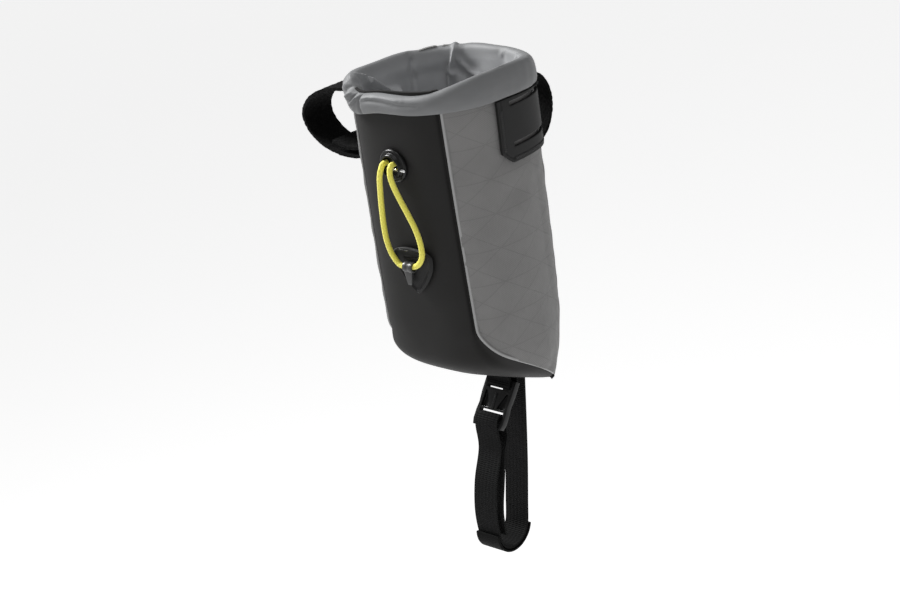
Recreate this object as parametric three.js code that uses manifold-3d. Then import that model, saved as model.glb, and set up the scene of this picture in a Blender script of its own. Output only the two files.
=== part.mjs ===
// Handlebar food pouch: a soft open-topped bag with a black front-and-bottom panel, grey side panels,
// a lining turned out over the rim, hook-and-loop mounting straps, an elastic cord loop and a webbing
// strap with a buckle underneath.
// Millimetres, Z up, front facing -Y. Inside this file the middle of the mouth is at zero; at the end
// everything is moved so that the origin is the middle of the strap loop that goes round a handlebar.

import * as THREE from 'three';
import Module from 'manifold-3d';

// Overall sizes of the bag
const BODY_WIDTH = 80;
const BODY_DEPTH = 80;
const BODY_HEIGHT = 174.5;

// Cloth and gaps
const CLOTH = 1.6;
const LINING_CLOTH = 1.2;
const CUFF_CLOTH = 1.3;
const PATCH_CLOTH = 1.4;
const GAP = 0.3;
const LAY_GAP = 0.45;

// Mouth
const CUFF_DROP = 14;
const CUFF_INSIDE_DROP = 15;
const CUFF_PUFF = 1.9;
const RIM_TOP = 3;
const RIM_FADE = 0.12;

// Angles round the bag, in degrees from the middle of the front towards the right side
const FRONT_SEAM_ANGLE = 41;
const BACK_SEAM_ANGLE = 138;

// Mounting straps and their patches
const STRAP_WIDTH = 20;
const STRAP_THICK = 2;
const SLOT_SPACING = 20.5;
const SLOT_MIDDLE = -29.5;
const PATCH_LENGTH = 32;
const SIDE_PATCH_START = 87;
const SIDE_PATCH_END = 134;
const STEM_REACH = 57;
const STEM_HEIGHT = 38;
const STEM_SHIFT = 4;
const BAR_REACH = 27;
const BAR_HEIGHT = 39;
const LOOP_SAG = 10.5;

// Elastic cord and what it runs through
const CORD = 2.8;
const EYELET_RADIUS = 8.6;
const EYELET_HEIGHT = -42.8;
const EYELET_DEEP = 3.6;
const EYELET_SHIFT = 0.3;
const KEEPER_TOP = -85.5;
const KEEPER_SHIFT = 3;
const KEEPER_WIDTH = 25.5;
const KEEPER_HEIGHT = 24.5;

// Strap under the bag
const WEBBING = 15;
const WEBBING_THICK = 1.3;
const TAB_BACK = 18;
const BUCKLE_WIDTH = 20.5;
const BUCKLE_LENGTH = 27;
const BUCKLE_THICK = 3.2;
const BUCKLE_SWING = 30;
const LOOP_DROP = 97;
const LEAN_SIDE = 0.086;

// Where the middle of the handlebar loop is
const BAR_CENTRE = new THREE.Vector3(0, BODY_DEPTH / 2 + BAR_REACH / 2 + 1, SLOT_MIDDLE - LOOP_SAG);

// Half sizes of the bag down its height, as shares of half the width, half the depth and the height
const SECTIONS = [
  { down: 0.0, width: 0.99, front: 1.0, back: 0.99, power: 2.9 },
  { down: 0.3, width: 1.0, front: 0.94, back: 1.0, power: 3.0 },
  { down: 0.6, width: 1.01, front: 0.86, back: 1.0, power: 3.1 },
  { down: 0.8, width: 1.0, front: 0.79, back: 0.98, power: 3.2 },
  { down: 0.9, width: 0.965, front: 0.75, back: 0.92, power: 3.2 },
  { down: 1.0, width: 0.89, front: 0.72, back: 0.81, power: 3.2 },
];

// The rim round the mouth: rise of the lip, and how far it is pushed out, by angle
const RIM = [
  { angle: 0, lift: -2, push: -0.5 },
  { angle: 45, lift: -0.5, push: 0.2 },
  { angle: 90, lift: -1.5, push: -1 },
  { angle: 135, lift: -3, push: -2.2 },
  { angle: 180, lift: -4, push: -1.5 },
  { angle: 225, lift: -2, push: -1 },
  { angle: 270, lift: -4.5, push: -0.5 },
  { angle: 315, lift: -2.5, push: -0.5 },
  { angle: 340, lift: -5, push: -0.5 },
  { angle: 360, lift: -2, push: -0.5 },
];

// Soft dents and swells in the walls: depth in millimetres, sizes in degrees and share of height
const DENTS = [
  { angle: 105, down: 0.62, wide: 14, long: 0.3, depth: 1.3 },
  { angle: 72, down: 0.72, wide: 12, long: 0.2, depth: -0.8 },
  { angle: 255, down: 0.62, wide: 14, long: 0.3, depth: 1.3 },
  { angle: 288, down: 0.72, wide: 12, long: 0.2, depth: -0.8 },
  { angle: 180, down: 0.55, wide: 20, long: 0.25, depth: 1.0 },
];

// The seam between the black panel and the grey sides: down the front corner, then back along the bottom
const SEAM = [
  { down: 0.752, angle: FRONT_SEAM_ANGLE },
  { down: 0.768, angle: 45 },
  { down: 0.805, angle: 56 },
  { down: 0.834, angle: 70 },
  { down: 0.877, angle: 88 },
  { down: 0.938, angle: 103 },
  { down: 0.968, angle: 117 },
  { down: 0.985, angle: 128 },
  { down: 0.992, angle: 136.5 },
];

// The middle of the black panel beside each row of the seam: back is a share of half the depth,
// square and round shape the row between the seam and the middle
const BELLY = [
  { back: -0.8, down: 0.78, square: 2.5, round: 1.05 },
  { back: -0.788, down: 0.81, square: 2.7, round: 1.15 },
  { back: -0.765, down: 0.84, square: 3.0, round: 1.3 },
  { back: -0.71, down: 0.87, square: 3.2, round: 1.5 },
  { back: -0.54, down: 0.898, square: 3.4, round: 1.6 },
  { back: -0.1, down: 0.938, square: 3.4, round: 1.6 },
  { back: 0.36, down: 0.985, square: 3.4, round: 1.6 },
  { back: 0.7, down: 1.015, square: 3.2, round: 1.6 },
  { back: 0.83, down: 0.992, square: 3.0, round: 1.5 },
];

const RADIAN = Math.PI / 180;

// Reads a table at a place between its rows, with smooth steps from row to row
function readTable(rows, key, at) {
  const last = rows.length - 1;
  let i = 0;
  while (i < last - 1 && at > rows[i + 1][key]) {
    i += 1;
  }
  const span = rows[i + 1][key] - rows[i][key];
  const t = Math.min(1, Math.max(0, (at - rows[i][key]) / span));
  const found = {};
  for (const column of Object.keys(rows[0])) {
    const slope = (a, b) => (rows[b][column] - rows[a][column]) / (rows[b][key] - rows[a][key]);
    const m0 = span * slope(Math.max(0, i - 1), i + 1);
    const m1 = span * slope(i, Math.min(last, i + 2));
    const p0 = rows[i][column];
    const p1 = rows[i + 1][column];
    const a = 2 * p0 - 2 * p1 + m0 + m1;
    const b = -3 * p0 + 3 * p1 - 2 * m0 - m1;
    found[column] = ((a * t + b) * t + m0) * t + p0;
  }
  return found;
}

// A power that keeps the sign
function signedPower(value, power) {
  return Math.sign(value) * Math.abs(value) ** power;
}

// How far the wall is pressed in at an angle and height
function dentAt(angle, down) {
  let depth = 0;
  for (const dent of DENTS) {
    const a = (angle - dent.angle) / dent.wide;
    const d = (down - dent.down) / dent.long;
    depth += dent.depth * Math.exp(-a * a - d * d);
  }
  return depth;
}

// A point of the wall at a height and angle, moved inwards by inset
function wall(z, angle, inset) {
  const down = Math.max(0, -z / BODY_HEIGHT);
  const s = readTable(SECTIONS, 'down', down);
  const turn = ((angle % 360) + 360) % 360;
  const rim = readTable(RIM, 'angle', turn);
  const inward = inset + dentAt(turn, down) - rim.push * Math.max(0, 1 - down / RIM_FADE);
  const sine = Math.sin(turn * RADIAN);
  const cosine = Math.cos(turn * RADIAN);
  const reach = cosine > 0 ? s.front : s.back;
  return new THREE.Vector3(
    (s.width * BODY_WIDTH / 2 - inward) * signedPower(sine, 2 / s.power),
    -(reach * BODY_DEPTH / 2 - inward) * signedPower(cosine, 2 / s.power),
    z,
  );
}

// The height of the lip at an angle
function lipHeight(angle) {
  return readTable(RIM, 'angle', ((angle % 360) + 360) % 360).lift;
}

// The height of the top edge of the walls at an angle, under the cuff
function wallTop(angle) {
  return lipHeight(angle) - RIM_TOP;
}

// The height of the cuff's lower edge at an angle
function hemHeight(angle) {
  return lipHeight(angle) - CUFF_DROP;
}

// Evenly spaced numbers from a to b
function steps(a, b, count) {
  return Array.from({ length: count + 1 }, (_, i) => a + ((b - a) * i) / count);
}

// A closed solid from two skins of the same grid; cells for which isHole is true are left open
function thinSolid(skin, under, { wrap = false, isHole = () => false, tips = null } = {}) {
  const rows = skin.length;
  const columns = skin[0].length;
  const cells = wrap ? columns : columns - 1;
  const points = [...skin.flat(), ...under.flat()];
  const at = (side, i, j) => (side * rows + i) * columns + (j % columns);
  const kept = (i, j) => {
    const inside = i >= 0 && i < rows - 1 && (wrap || (j >= 0 && j < cells));
    return inside && !isHole(i, (j + cells) % cells);
  };
  const faces = [];
  const quad = (a, b, c, d) => faces.push(a, b, c, a, c, d);
  for (let i = 0; i < rows - 1; i += 1) {
    for (let j = 0; j < cells; j += 1) {
      if (!kept(i, j)) {
        continue;
      }
      quad(at(0, i, j), at(0, i + 1, j), at(0, i + 1, j + 1), at(0, i, j + 1));
      quad(at(1, i, j), at(1, i, j + 1), at(1, i + 1, j + 1), at(1, i + 1, j));
      if (!kept(i - 1, j)) {
        quad(at(0, i, j), at(0, i, j + 1), at(1, i, j + 1), at(1, i, j));
      }
      if (!kept(i + 1, j) && !(tips && i === rows - 2)) {
        quad(at(0, i + 1, j + 1), at(0, i + 1, j), at(1, i + 1, j), at(1, i + 1, j + 1));
      }
      if (!kept(i, j - 1)) {
        quad(at(0, i + 1, j), at(0, i, j), at(1, i, j), at(1, i + 1, j));
      }
      if (!kept(i, j + 1)) {
        quad(at(0, i, j + 1), at(0, i + 1, j + 1), at(1, i + 1, j + 1), at(1, i, j + 1));
      }
    }
  }
  if (tips) {
    points.push(...tips);
    for (let j = 0; j < cells; j += 1) {
      faces.push(at(0, rows - 1, j), points.length - 2, at(0, rows - 1, j + 1));
      faces.push(at(1, rows - 1, j + 1), points.length - 1, at(1, rows - 1, j));
    }
  }
  return solidOf(points, faces);
}

// A geometry from points and corner numbers, turned so that its faces point out
function solidOf(points, faces) {
  let volume = 0;
  for (let k = 0; k < faces.length; k += 3) {
    const [a, b, c] = [points[faces[k]], points[faces[k + 1]], points[faces[k + 2]]];
    volume += a.dot(new THREE.Vector3().crossVectors(b, c));
  }
  const corners = volume < 0 ? [...faces].reverse() : faces;
  const geometry = new THREE.BufferGeometry();
  geometry.setAttribute('position', new THREE.Float32BufferAttribute(points.flatMap((p) => p.toArray()), 3));
  geometry.setIndex(corners);
  const flat = geometry.toNonIndexed();
  flat.computeVertexNormals();
  return flat;
}

// Grey side panel: from the front seam to the back seam, narrowing along the bottom seam
function sidePanel(side) {
  const turn = (angle) => side * angle;
  const grid = (inset) => {
    const rows = [];
    const row = (heightAt, from) => {
      const angles = steps(from, BACK_SEAM_ANGLE - 0.5, 12).map(turn);
      rows.push(angles.map((angle) => wall(heightAt(angle), angle, inset)));
    };
    const kink = -SEAM[0].down * BODY_HEIGHT + 2;
    for (const share of steps(0, 1, 10)) {
      row((angle) => wallTop(angle) + (kink - wallTop(angle)) * share, FRONT_SEAM_ANGLE + 0.5);
    }
    for (const seam of SEAM.slice(1)) {
      const z = -seam.down * BODY_HEIGHT + GAP + 0.3;
      row(() => z, Math.min(seam.angle + 0.6, BACK_SEAM_ANGLE - 1.2));
    }
    return rows;
  };
  return thinSolid(grid(0), grid(CLOTH));
}

// Plain grey back panel between the two back seams
function backPanel() {
  const foot = -SEAM[SEAM.length - 1].down * BODY_HEIGHT + GAP + 0.3;
  const angles = steps(BACK_SEAM_ANGLE + 0.5, 360 - BACK_SEAM_ANGLE - 0.5, 10);
  const grid = (inset) => steps(0, 1, 10).map((share) => (
    angles.map((angle) => wall(wallTop(angle) + (foot - wallTop(angle)) * share, angle, inset))
  ));
  return thinSolid(grid(0), grid(CLOTH));
}

// Shares across the black panel, closer together at its edges
const ACROSS = [-1, -0.965, -0.9, -0.8, -0.64, -0.42, -0.2, 0, 0.2, 0.42, 0.64, 0.8, 0.9, 0.965, 1];

// The rows of the black panel from the rim down the front and back under the bag
function blackRows() {
  const rows = [];
  for (const share of steps(0, 1, 12)) {
    rows.push({ share });
  }
  SEAM.forEach((seam, i) => {
    const belly = BELLY[i];
    const middle = new THREE.Vector3(0, belly.back * BODY_DEPTH / 2, -belly.down * BODY_HEIGHT);
    const z = -seam.down * BODY_HEIGHT;
    if (i > 0) {
      rows.push({ z, angle: seam.angle, middle, square: belly.square, round: belly.round });
    }
  });
  return rows;
}

// A point of the black panel on a row, share across from left -1 to right 1, moved inwards by inset
function blackPoint(rows, i, share, inset) {
  const row = rows[i];
  if (row.share !== undefined) {
    const kink = -SEAM[0].down * BODY_HEIGHT;
    const angle = share * (FRONT_SEAM_ANGLE - 0.4);
    const top = wallTop(angle);
    return wall(top + (kink - top) * row.share, angle, inset);
  }
  const isLast = i === rows.length - 1;
  const before = rows[i - 1].middle ?? wall(-SEAM[0].down * BODY_HEIGHT, 0, 0);
  const after = isLast ? before.clone().setZ(before.z + 1) : rows[i + 1].middle;
  const run = new THREE.Vector3().subVectors(after, before).normalize();
  const inwards = new THREE.Vector3(0, -run.z, run.y);
  const middle = row.middle.clone().addScaledVector(inwards, inset);
  const edge = wall(row.z, row.angle, inset);
  const seam = new THREE.Vector3(0, edge.y, edge.z);
  const depth = new THREE.Vector3().subVectors(middle, seam);
  seam.addScaledVector(depth, GAP / 2 / depth.length());
  depth.subVectors(middle, seam);
  const bulge = Math.max(0, 1 - Math.abs(share) ** row.square) ** (1 / row.round);
  return seam.addScaledVector(depth, bulge).setX((edge.x - GAP / 2) * share);
}

function frontPanel() {
  const rows = blackRows();
  const grid = (inset) => rows.map((_, i) => ACROSS.map((share) => blackPoint(rows, i, share, inset)));
  return thinSolid(grid(0), grid(CLOTH));
}

// Inner bag: straight down inside the walls, then rounded in to a sloping floor
const LINING_INSET = CLOTH + LAY_GAP;
const LINING_FLOOR = [
  { down: 0.8, slope: 0.0, share: 0.99 },
  { down: 0.86, slope: 0.12, share: 0.97 },
  { down: 0.895, slope: 0.2, share: 0.9 },
  { down: 0.915, slope: 0.26, share: 0.75 },
  { down: 0.925, slope: 0.28, share: 0.4 },
];

function lining() {
  const around = steps(0, 360, 28).slice(0, 28);
  const grid = (inset) => {
    const rows = steps(0, 1, 6).map((share) => around.map((angle) => {
      const top = wallTop(angle) - 1;
      return wall(top + (-0.74 * BODY_HEIGHT - top) * share, angle, inset);
    }));
    for (const floor of LINING_FLOOR) {
      rows.push(around.map((angle) => {
        const z = -floor.down * BODY_HEIGHT;
        const p = wall(z, angle, inset);
        p.multiplyScalar(floor.share);
        p.z = z - floor.slope * p.y + (inset - LINING_INSET) * (1 - floor.share);
        return p;
      }));
    }
    return rows;
  };
  const tip = new THREE.Vector3(0, 0, -0.928 * BODY_HEIGHT);
  const tips = [tip, tip.clone().setZ(tip.z + LINING_CLOTH)];
  return thinSolid(grid(LINING_INSET), grid(LINING_INSET + LINING_CLOTH), { wrap: true, tips });
}

// Cuff: the turned-out edge, an upside-down U over the rim.
// Each row is how far out and how far down from the lip
function cuff() {
  const inside = LINING_INSET + LINING_CLOTH + LAY_GAP + 0.25;
  const outside = LAY_GAP;
  const legs = [
    { out: outside, far: outside + CUFF_CLOTH, drop: CUFF_DROP, cut: 0 },
    { out: outside + 0.5 * CUFF_PUFF, far: outside + CUFF_CLOTH + CUFF_PUFF, drop: 0.75 * CUFF_DROP, cut: 0 },
    { out: outside + 0.5 * CUFF_PUFF, far: outside + CUFF_CLOTH + CUFF_PUFF, drop: 0.4 * CUFF_DROP, cut: 0 },
    { out: outside, far: outside + CUFF_CLOTH + 0.4 * CUFF_PUFF, drop: 0.14 * CUFF_DROP, cut: 0.6 },
    { out: -0.6, far: -0.2, drop: 0, cut: 1 },
    { out: -inside + 0.8, far: -inside - CUFF_CLOTH + 0.8, drop: 0.1 * CUFF_DROP, cut: 0.6 },
    { out: -inside, far: -inside - CUFF_CLOTH, drop: 0.35 * CUFF_INSIDE_DROP, cut: 0 },
    { out: -inside, far: -inside - CUFF_CLOTH, drop: CUFF_INSIDE_DROP, cut: 0 },
  ];
  const around = steps(0, 360, 40).slice(0, 40);
  const grid = (side) => legs.map((leg) => around.map((angle) => {
    const z = lipHeight(angle) - leg.drop - (side === 'near' ? leg.cut * CUFF_CLOTH : 0);
    const p = wall(Math.min(z, 0), angle, -(side === 'near' ? leg.out : leg.far));
    return p.setZ(z);
  }));
  return thinSolid(grid('far'), grid('near'), { wrap: true });
}

// Patches: the strip above the upper slot follows the hem, and the cloth by a slot stays level a little way
const PATCH_BELOW_HEM = 0.8;
const PATCH_STRIP = 0.4;
const PATCH_TOP = -CUFF_DROP - 2.5;
const SLOT_TALL = 2.5;
const CUT_CORNER = 0.08;
const PATCH_RAISE = 3.6;
const SLOT_BRIDGE = 1.5;
const PATCH_SLOPE = 3;

// Patch laid on the wall between two angles, raised in the middle where a strap runs behind it.
// With an open top the strap comes out over its upper edge instead of through a slot
function patch({ from, to, raise, slotTall, openTop, cutCorner }) {
  const half = slotTall / 2;
  const upper = SLOT_MIDDLE + SLOT_SPACING / 2 + half;
  const lower = SLOT_MIDDLE - SLOT_SPACING / 2 + half;
  const foot = PATCH_TOP - PATCH_LENGTH;
  const below = [
    upper - slotTall, upper - slotTall - SLOT_BRIDGE, SLOT_MIDDLE, lower + SLOT_BRIDGE,
    lower, lower - slotTall, lower - slotTall - SLOT_BRIDGE, foot,
  ];
  const heights = openTop ? below : [PATCH_TOP, upper, ...below];
  const shares = [0, 0.06, 0.12, 0.3, 0.5, 0.7, 0.88, 0.94, 1];
  const lift = (z, share) => {
    const sideways = Math.min(1, Math.min(share, 1 - share) / 0.1);
    const upDown = Math.min(1, Math.min(PATCH_TOP - z, z - foot) / PATCH_SLOPE);
    return raise * sideways * upDown;
  };
  const grid = (out) => heights.map((height) => shares.map((share) => {
    const start = height === foot ? from + cutCorner * (to - from) : from;
    const angle = start + (to - start) * share;
    const hem = Math.max(hemHeight(angle) - PATCH_BELOW_HEM, upper + PATCH_STRIP);
    return wall(height === PATCH_TOP ? hem : height, angle, -(out + lift(height, share)));
  }));
  const isHole = (i, j) => (heights[i] === upper || heights[i] === lower) && j >= 2 && j <= 5;
  return thinSolid(grid(LAY_GAP + PATCH_CLOTH), grid(LAY_GAP), { isHole });
}

// A smooth line through hand-placed points, with the same number of steps between each two of them
function smoothLine(points, between) {
  return new THREE.CatmullRomCurve3(points, false, 'centripetal').getPoints(between * (points.length - 1));
}

// A flat band along a line: across is the direction of its width
function band(line, across, width, thick) {
  const half = across.clone().setLength(width / 2);
  const grid = (side) => line.map((p, i) => {
    const before = line[Math.max(0, i - 1)];
    const after = line[Math.min(line.length - 1, i + 1)];
    const run = new THREE.Vector3().subVectors(after, before);
    const up = new THREE.Vector3().crossVectors(run, across).setLength(side * thick / 2);
    const middle = p.clone().add(up);
    return [middle.clone().sub(half), middle.clone().add(half)];
  });
  return thinSolid(grid(1), grid(-1));
}

// The shape of a mounting strap's loop: out is a share of the reach, up a share of half the height.
// It starts at the free end inside the loop, runs in behind the patch, out again on top and round
const STRAP_LOOP = [
  { out: 0.66, up: -0.62 },
  { out: 0.45, up: -0.74 },
  { out: 0.3, up: -0.64 },
];
const STRAP_LOOP_OUTER = [
  { out: 0.3, up: 1.02 },
  { out: 0.52, up: 0.98 },
  { out: 0.78, up: 0.78 },
  { out: 0.95, up: 0.4 },
  { out: 1.0, up: 0.0 },
  { out: 0.94, up: -0.42 },
  { out: 0.78, up: -0.78 },
  { out: 0.56, up: -0.96 },
  { out: 0.34, up: -0.95 },
  { out: 0.16, up: -0.8 },
];

function strapLine(base, reach, height, place) {
  const behind = LAY_GAP + STRAP_THICK / 2;
  const upper = SLOT_MIDDLE + SLOT_SPACING / 2;
  const lower = SLOT_MIDDLE - SLOT_SPACING / 2;
  const middle = SLOT_MIDDLE - LOOP_SAG;
  const loop = (row) => [base + row.out * reach, middle + row.up * (height / 2 - STRAP_THICK / 2)];
  const points = [
    ...STRAP_LOOP.map(loop),
    [base + behind + 4.4, lower - 0.6],
    [base + behind + 1.6, lower + 0.6],
    [base + behind, lower + 3.4],
    [base + behind, SLOT_MIDDLE],
    [base + behind, upper - 3.4],
    [base + behind + 1.6, upper - 0.6],
    [base + behind + 4.4, upper],
    ...STRAP_LOOP_OUTER.map(loop),
  ];
  return smoothLine(points.map(([out, up]) => place(out, up)), 3);
}

function stemStrap() {
  const place = (out, up) => new THREE.Vector3(-out, STEM_SHIFT, up);
  const line = strapLine(BODY_WIDTH / 2 + 0.2, STEM_REACH, STEM_HEIGHT, place);
  return band(line, new THREE.Vector3(0, 1, 0), STRAP_WIDTH, STRAP_THICK);
}

function barStrap() {
  const line = strapLine(BODY_DEPTH / 2, BAR_REACH, BAR_HEIGHT, (out, up) => new THREE.Vector3(0, out, up));
  return band(line, new THREE.Vector3(1, 0, 0), STRAP_WIDTH, STRAP_THICK);
}

// A point in front of the black panel: x across, out from the cloth
function front(x, z, out) {
  const s = readTable(SECTIONS, 'down', -z / BODY_HEIGHT);
  const share = Math.abs(x) / (s.width * BODY_WIDTH / 2);
  const y = -(s.front * BODY_DEPTH / 2) * (1 - share ** s.power) ** (1 / s.power);
  return new THREE.Vector3(x, y - out, z);
}

// How much the front leans back, found between two heights
function frontLean(z) {
  return Math.atan2(front(0, z - 5, 0).y - front(0, z + 5, 0).y, 10);
}

// Eyelet: a round cover with a raised ridge round a recess, and a pin across the recess
const RECESS_RADIUS = 5.2;
const RECESS_FLOOR = 1.2;
const EYELET_PROFILE = [
  { radius: 0, high: 0 },
  { radius: EYELET_RADIUS, high: 0 },
  { radius: EYELET_RADIUS, high: 0.9 },
  { radius: EYELET_RADIUS - 0.9, high: 1.9 },
  { radius: EYELET_RADIUS - 1.8, high: 2.1 },
  { radius: RECESS_RADIUS + 1.0, high: EYELET_DEEP },
  { radius: RECESS_RADIUS + 0.3, high: EYELET_DEEP },
  { radius: RECESS_RADIUS, high: RECESS_FLOOR },
  { radius: 0, high: RECESS_FLOOR },
];

function onFront(geometry, x, z, out) {
  geometry.rotateX(Math.PI + frontLean(z));
  const p = front(x, z, out);
  return geometry.translate(p.x, p.y, p.z);
}

function eyelet() {
  const points = EYELET_PROFILE.map((row) => new THREE.Vector2(row.radius, row.high));
  return onFront(new THREE.LatheGeometry(points, 24), EYELET_SHIFT, EYELET_HEIGHT, LAY_GAP);
}

const PIN_RADIUS = 0.7;
const PIN_OUT = LAY_GAP + RECESS_FLOOR + GAP + PIN_RADIUS + 0.1;

function eyeletPin() {
  const pin = new THREE.CylinderGeometry(PIN_RADIUS, PIN_RADIUS, 2 * (RECESS_RADIUS - GAP) - 0.6, 10);
  pin.rotateZ(Math.PI / 2);
  const p = front(EYELET_SHIFT, EYELET_HEIGHT - 1.2, PIN_OUT);
  return pin.translate(p.x, p.y, p.z);
}

// The elastic cord's route: across, out from the cloth and down from the eyelet
const CORD_START = LAY_GAP + RECESS_FLOOR + GAP;
const PULL_OUT = 4.8;
const PULL_LEFT = -3.9;
const PULL_RIGHT = 3.6;
const CORD_ROUTE = [
  { x: -3.2, out: CORD_START, down: -1.7 },
  { x: -3.2, out: CORD_START + 3, down: -1.4 },
  { x: -3.4, out: 6.3, down: 0.4 },
  { x: -4.6, out: 7.0, down: 4.6 },
  { x: -6.2, out: 6.6, down: 11 },
  { x: -8.0, out: 5.9, down: 18.5 },
  { x: -9.4, out: 5.3, down: 26 },
  { x: -10.2, out: 5.0, down: 33 },
  { x: -10.0, out: 4.9, down: 40 },
  { x: -8.0, out: 4.9, down: 46.6 },
  { x: PULL_LEFT, out: PULL_OUT, down: 51.5 },
  { x: (PULL_LEFT + PULL_RIGHT) / 2, out: PULL_OUT, down: 52 },
  { x: PULL_RIGHT, out: PULL_OUT, down: 51.8 },
  { x: 8.6, out: 4.6, down: 50 },
  { x: 11.8, out: 4.2, down: 45.4 },
  { x: 12.2, out: 4.0, down: 39.6 },
  { x: 10.6, out: 3.8, down: 32 },
  { x: 7.6, out: 4.1, down: 24 },
  { x: 4.6, out: 4.9, down: 16 },
  { x: 2.9, out: 6, down: 9 },
  { x: 2.4, out: 6.6, down: 4 },
  { x: 2.4, out: 6.2, down: 0.4 },
  { x: 2.4, out: CORD_START + 3, down: -1.4 },
  { x: 2.4, out: CORD_START, down: -1.7 },
];

function cordPoint(row) {
  return front(row.x + EYELET_SHIFT, EYELET_HEIGHT - row.down, row.out);
}

function elasticCord() {
  const circle = new THREE.Shape(steps(0, 2 * Math.PI, 8).slice(0, 8).map((a) => (
    new THREE.Vector2(CORD / 2 * Math.cos(a), CORD / 2 * Math.sin(a))
  )));
  const extrudePath = new THREE.CatmullRomCurve3(CORD_ROUTE.map(cordPoint), false, 'centripetal');
  return new THREE.ExtrudeGeometry(circle, { steps: 48, extrudePath, bevelEnabled: false, curveSegments: 1 });
}

// Keeper patch: a shield with a raised border
const KEEPER_SHAPE = [
  { down: 0, half: 0.62 },
  { down: 0.05, half: 0.86 },
  { down: 0.13, half: 1 },
  { down: 0.4, half: 0.96 },
  { down: 0.62, half: 0.74 },
  { down: 0.82, half: 0.44 },
  { down: 0.95, half: 0.16 },
  { down: 1, half: 0.05 },
];
const KEEPER_PLATE = 1.2;
const KEEPER_BORDER = 1.8;

function keeperPatch() {
  const shares = [-1, -0.84, -0.78, -0.4, 0, 0.4, 0.78, 0.84, 1];
  const isBorder = (i, j) => i < 1 || i > 6 || j < 2 || j > 6;
  const face = (i, j) => (isBorder(i, j) ? KEEPER_BORDER : KEEPER_PLATE);
  const grid = (rise) => KEEPER_SHAPE.map((row, i) => shares.map((share, j) => {
    const x = KEEPER_SHIFT + share * row.half * KEEPER_WIDTH / 2;
    return front(x, KEEPER_TOP - row.down * KEEPER_HEIGHT, LAY_GAP + rise(i, j));
  }));
  return thinSolid(grid(face), grid(() => 0));
}

// Boolean work
const wasm = await Module();
wasm.setup();
const { Manifold, Mesh } = wasm;

function toManifold(geometry) {
  const position = (geometry.index ? geometry.toNonIndexed() : geometry).attributes.position;
  const mesh = new Mesh({
    numProp: 3,
    vertProperties: new Float32Array(position.array),
    triVerts: Uint32Array.from({ length: position.count }, (_, i) => i),
  });
  mesh.merge();
  return new Manifold(mesh);
}

function fromManifold(solid) {
  const mesh = solid.getMesh();
  const geometry = new THREE.BufferGeometry();
  geometry.setAttribute('position', new THREE.BufferAttribute(mesh.vertProperties.slice(), 3));
  geometry.setIndex(new THREE.BufferAttribute(mesh.triVerts.slice(), 1));
  const flat = geometry.toNonIndexed();
  flat.computeVertexNormals();
  return flat;
}

// Keeper tab: a folded barrel that the cord runs through, with a tongue that narrows to the shield's point
const BARREL_RADIUS = 2.75;
const TONGUE_THICK = 1.5;
const TONGUE_LENGTH = 9.5;

function keeperTab() {
  const length = PULL_RIGHT - PULL_LEFT - 1.4;
  const round = (radius, wide, sides) => {
    const geometry = new THREE.CylinderGeometry(radius, radius, wide, sides);
    geometry.rotateZ(Math.PI / 2);
    return toManifold(geometry);
  };
  const tongue = new THREE.Shape([
    new THREE.Vector2(-length / 2, 0),
    new THREE.Vector2(-0.14 * length, -TONGUE_LENGTH),
    new THREE.Vector2(0.26 * length, -TONGUE_LENGTH),
    new THREE.Vector2(length / 2, 0),
  ]);
  const plate = new THREE.ExtrudeGeometry(tongue, { depth: TONGUE_THICK, bevelEnabled: false });
  plate.translate(0, 0, -BARREL_RADIUS + 0.3);
  plate.rotateX(Math.PI / 2 + 0.03);
  const tab = round(BARREL_RADIUS, length, 18).add(toManifold(plate));
  const bored = tab.subtract(round(CORD / 2 + GAP + 0.35, length + 2, 12));
  const geometry = fromManifold(bored);
  const place = cordPoint({ x: (PULL_LEFT + PULL_RIGHT) / 2, out: PULL_OUT, down: 51.8 });
  return geometry.translate(place.x, place.y, place.z);
}

// Strap under the bag. Its line hangs in a plane that leans a little to the left and front
function hang(back, z) {
  return new THREE.Vector3(-LEAN_SIDE * (-BODY_HEIGHT - z), back, z);
}

// The underside of the black panel at a distance back from the middle
function under(back) {
  const share = back / (BODY_DEPTH / 2);
  const i = BELLY.findIndex((row) => row.back > share);
  const [a, b] = [BELLY[i - 1], BELLY[i]];
  const t = (share - a.back) / (b.back - a.back);
  return -(a.down + (b.down - a.down) * t) * BODY_HEIGHT;
}

const SWING = BUCKLE_SWING * RADIAN;
const BAR_HALF = 1.3;
const TAB_BEND = BAR_HALF + GAP + WEBBING_THICK / 2 + 0.5;
const TAB_HANG = 5.33;
const BUCKLE_TOP = new THREE.Vector3(0, TAB_BACK, under(TAB_BACK) - TAB_HANG);
const LOWER_BAR = 0.737 * BUCKLE_LENGTH;

// A point of the buckle's own frame: across, how far back, how far along it
function buckleAt(back, along) {
  return new THREE.Vector3(
    -LEAN_SIDE * along,
    BUCKLE_TOP.y - Math.sin(SWING) * along + Math.cos(SWING) * back,
    BUCKLE_TOP.z - Math.cos(SWING) * along - Math.sin(SWING) * back,
  );
}

function buckleTab() {
  const top = (back) => new THREE.Vector3(0, back, under(back) - GAP - 0.4);
  const points = [
    top(TAB_BACK - TAB_BEND - 0.4),
    buckleAt(-TAB_BEND, -1),
    buckleAt(-TAB_BEND * 0.75, TAB_BEND * 0.75),
    buckleAt(0, TAB_BEND + 0.2),
    buckleAt(TAB_BEND * 0.75, TAB_BEND * 0.75),
    buckleAt(TAB_BEND, -1),
    top(TAB_BACK + TAB_BEND + 0.5),
  ];
  return band(smoothLine(points, 3), new THREE.Vector3(1, 0, 0), WEBBING, WEBBING_THICK);
}

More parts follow.
